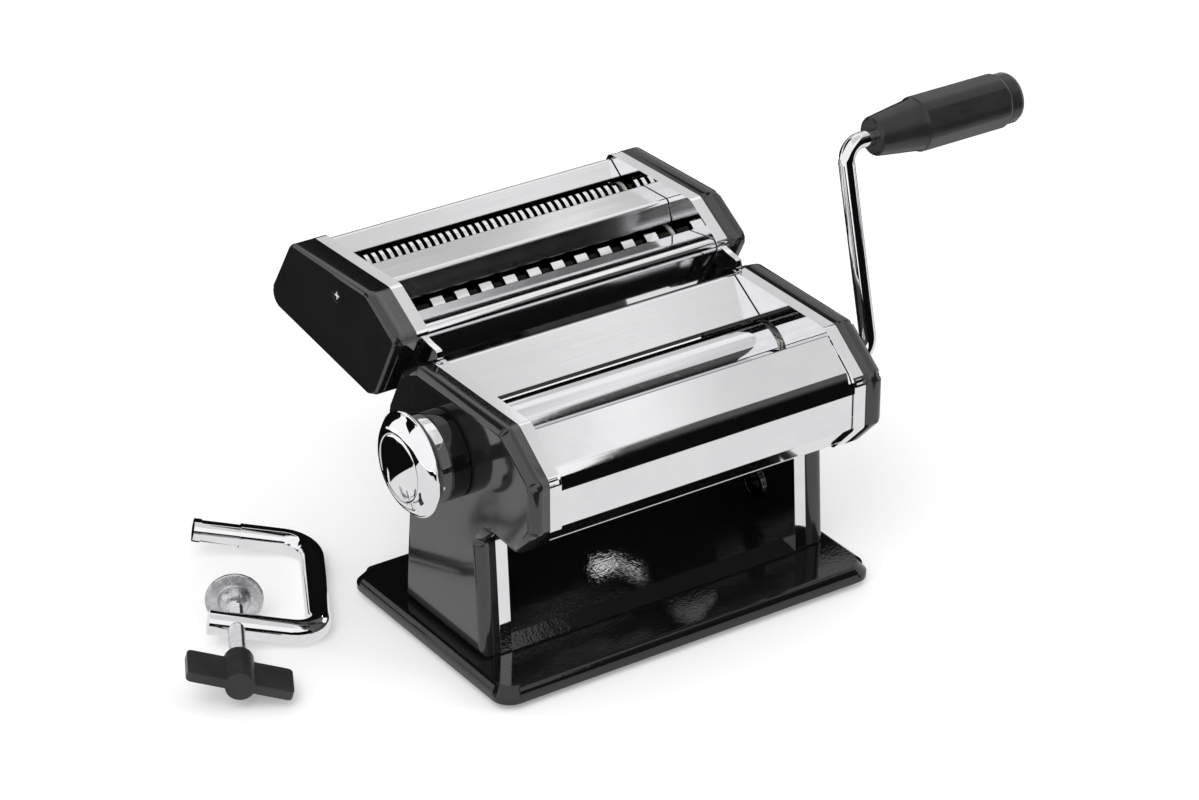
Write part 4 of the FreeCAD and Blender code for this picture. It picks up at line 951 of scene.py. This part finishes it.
def seenDirectly(tree):
    # 1 for what the camera sees, also in a mirror or through glass
    path = addNode(tree, "ShaderNodeLightPath")
    seen = mathNode(tree, "MAXIMUM", path.outputs["Is Camera Ray"], path.outputs["Is Glossy Ray"])
    return mathNode(tree, "MAXIMUM", seen, path.outputs["Is Transmission Ray"])


def floorMaterial():
    material, tree, surface = emptyMaterial("paleFloor")
    diffuse = addNode(tree, "ShaderNodeBsdfDiffuse")
    diffuse.inputs["Color"].default_value = (*studio["floorColour"], 1.0)
    glow = addNode(tree, "ShaderNodeEmission")
    both = addNode(tree, "ShaderNodeAddShader")
    tree.links.new(mathNode(tree, "MULTIPLY", seenDirectly(tree), studio["floorGlow"]), glow.inputs["Strength"])
    tree.links.new(diffuse.outputs["BSDF"], both.inputs[0])
    tree.links.new(glow.outputs["Emission"], both.inputs[1])
    tree.links.new(both.outputs["Shader"], surface)
    return material


floor.data.materials.append(floorMaterial())


def worldBackground():
    world = bpy.data.worlds.new("paleStudio")
    world.use_nodes = True
    tree = world.node_tree
    tree.nodes.clear()
    output = addNode(tree, "ShaderNodeOutputWorld")
    background = addNode(tree, "ShaderNodeBackground")
    background.inputs["Color"].default_value = (1.0, 1.0, 1.0, 1.0)
    fill = studio["worldFill"]
    strength = mathNode(tree, "MULTIPLY_ADD", seenDirectly(tree), 1.0 - fill, fill)
    tree.links.new(strength, background.inputs["Strength"])
    tree.links.new(background.outputs["Background"], output.inputs["Surface"])
    bpy.context.scene.world = world


worldBackground()


def plainCard(name, corners, material):
    # a card that shows only in the reflections of polished pieces
    card = flatCard(name, corners)
    card.data.materials.append(material)
    card.visible_camera = False
    card.visible_diffuse = False
    card.visible_shadow = False
    card.visible_transmission = False
    card.visible_volume_scatter = False


def cardMaterial(name, tone):
    material, tree, surface = emptyMaterial(name)
    glow = addNode(tree, "ShaderNodeEmission")
    glow.inputs["Color"].default_value = (tone, tone, tone, 1.0)
    tree.links.new(glow.outputs["Emission"], surface)
    return material


def fadeMaterial(name, axis, level, near, far, atNear, atFar):
    # brightness that runs with the distance from a level along one axis
    material = cardMaterial(name, 1.0)
    tree = material.node_tree
    glow = next(node for node in tree.nodes if node.bl_idname == "ShaderNodeEmission")
    coordinates = addNode(tree, "ShaderNodeTexCoord")
    split = addNode(tree, "ShaderNodeSeparateXYZ")
    tree.links.new(coordinates.outputs["Object"], split.inputs["Vector"])
    apart = mathNode(tree, "SUBTRACT", split.outputs[axis], level)
    apart = mathNode(tree, "ABSOLUTE", apart)
    ramp = addNode(tree, "ShaderNodeMapRange", clamp=True, interpolation_type="SMOOTHSTEP")
    tree.links.new(apart, ramp.inputs["Value"])
    ramp.inputs["From Min"].default_value = near
    ramp.inputs["From Max"].default_value = far
    ramp.inputs["To Min"].default_value = atNear
    ramp.inputs["To Max"].default_value = atFar
    tree.links.new(ramp.outputs["Result"], glow.inputs["Strength"])
    return material


cardMaterials = {
    "black": cardMaterial("blackCard", 0.004),
    "pale": cardMaterial("paleCard", 0.78),
    "edge": cardMaterial("edgeCard", 0.085),
    "glint": cardMaterial("glintCard", 8.0),
    "softbox": fadeMaterial("softboxCard", axis="X", level=0.744, near=0.0, far=0.12, atNear=0.95, atFar=0.70),
    "rear": fadeMaterial("rearCard", axis="X", level=0.554, near=0.0, far=0.06, atNear=1.0, atFar=0.66),
    "front": fadeMaterial("frontCard", axis="Z", level=0.0, near=0.55, far=1.0, atNear=0.004, atFar=0.085),
}
# what the polished pieces mirror, in metres: the table's middle, its dark rear and front, then what stands round it
cards = {
    "tableMiddle": ("pale", lying(0.0003, rectangle((-1.2, -0.3), (1.2, 0.13)))),
    "tableRear": ("black", lying(0.0004, [
        (-1.2, 0.125), (-0.105, 0.125), (-0.105, 0.07), (1.2, 0.07), (1.2, 1.2), (-0.15, 1.2), (-0.15, 0.45),
        (-1.2, 0.45),
    ])),
    "tableFront": ("black", lying(0.0004, rectangle((-1.2, -0.9), (1.25, -0.3)))),
    "wallRear": ("black", upright(0.16, rectangle((-0.16, 0.0), (0.3, 0.165)))),
    "wallFront": ("front", upright(-0.9, [
        (-0.6, 0.0), (-0.6, 0.36), (0.435, 0.5), (0.618, 0.98), (0.78, 1.32), (0.9, 1.39), (1.25, 1.39), (1.25, 0.0),
    ])),
    "edgeAbove": ("edge", lying(1.39, [(0.78, -0.9), (1.4, -0.9), (1.4, -0.74), (0.86, -0.74)])),
    "glint": ("glint", upright(0.158, [(0.093, 0.129), (0.108, 0.131), (0.128, 0.147), (0.108, 0.147)])),
    "wallFar": ("black", upright(0.6, rectangle((-0.35, 0.0), (0.62, 0.36)))),
    "wallHighLeft": ("black", upright(0.8, rectangle((-1.6, 0.72), (0.1, 2.0)))),
    "rearGlow": ("rear", upright(0.9, rectangle((-0.4, 0.35), (1.4, 1.3)))),
    "softbox": ("softbox", lying(1.4, rectangle((-0.1, -0.9), (1.6, 0.3)))),
}
for name, (kind, corners) in cards.items():
    plainCard(name, corners, cardMaterials[kind])


lampLooks = {
    "keyLamp": dict(position=(-1.3, -1.0, 1.7), target=(0, 0, 0.1), size=1.2, power=18.0),
    "sideLamp": dict(position=(1.4, -1.3, 1.2), target=(0, 0, 0.1), size=1.0, power=7.0),
}


def areaLamp(name, look):
    lamp = bpy.data.lights.new(name, "AREA")
    lamp.size = look["size"]
    lamp.energy = look["power"]
    holder = bpy.data.objects.new(name, lamp)
    holder.location = look["position"]
    direction = Vector(look["target"]) - Vector(look["position"])
    holder.rotation_euler = direction.to_track_quat("-Z", "Y").to_euler()
    # polished pieces mirror the cards, not the lamps
    holder.visible_glossy = False
    bpy.context.scene.collection.objects.link(holder)


for name, look in lampLooks.items():
    areaLamp(name, look)

cameraLook = {
    "position": (-0.91405, -1.34270, 0.96695), "azimuth": -34.04, "elevation": 28.16, "focalPixels": 4100.2,
    "imageWidth": 1199.0, "sensor": 36.0, "farEnd": 20.0,
}


def makeCamera(look):
    data = bpy.data.cameras.new("shotCamera")
    data.sensor_width = look["sensor"]
    data.lens = look["focalPixels"] / look["imageWidth"] * look["sensor"]
    data.clip_end = look["farEnd"]
    holder = bpy.data.objects.new("shotCamera", data)
    holder.location = look["position"]
    holder.rotation_euler = (math.radians(90.0 - look["elevation"]), 0.0, math.radians(look["azimuth"]))
    bpy.context.scene.collection.objects.link(holder)
    bpy.context.scene.camera = holder


makeCamera(cameraLook)
bpy.context.scene.view_settings.view_transform = "Standard"
print("studio ready")
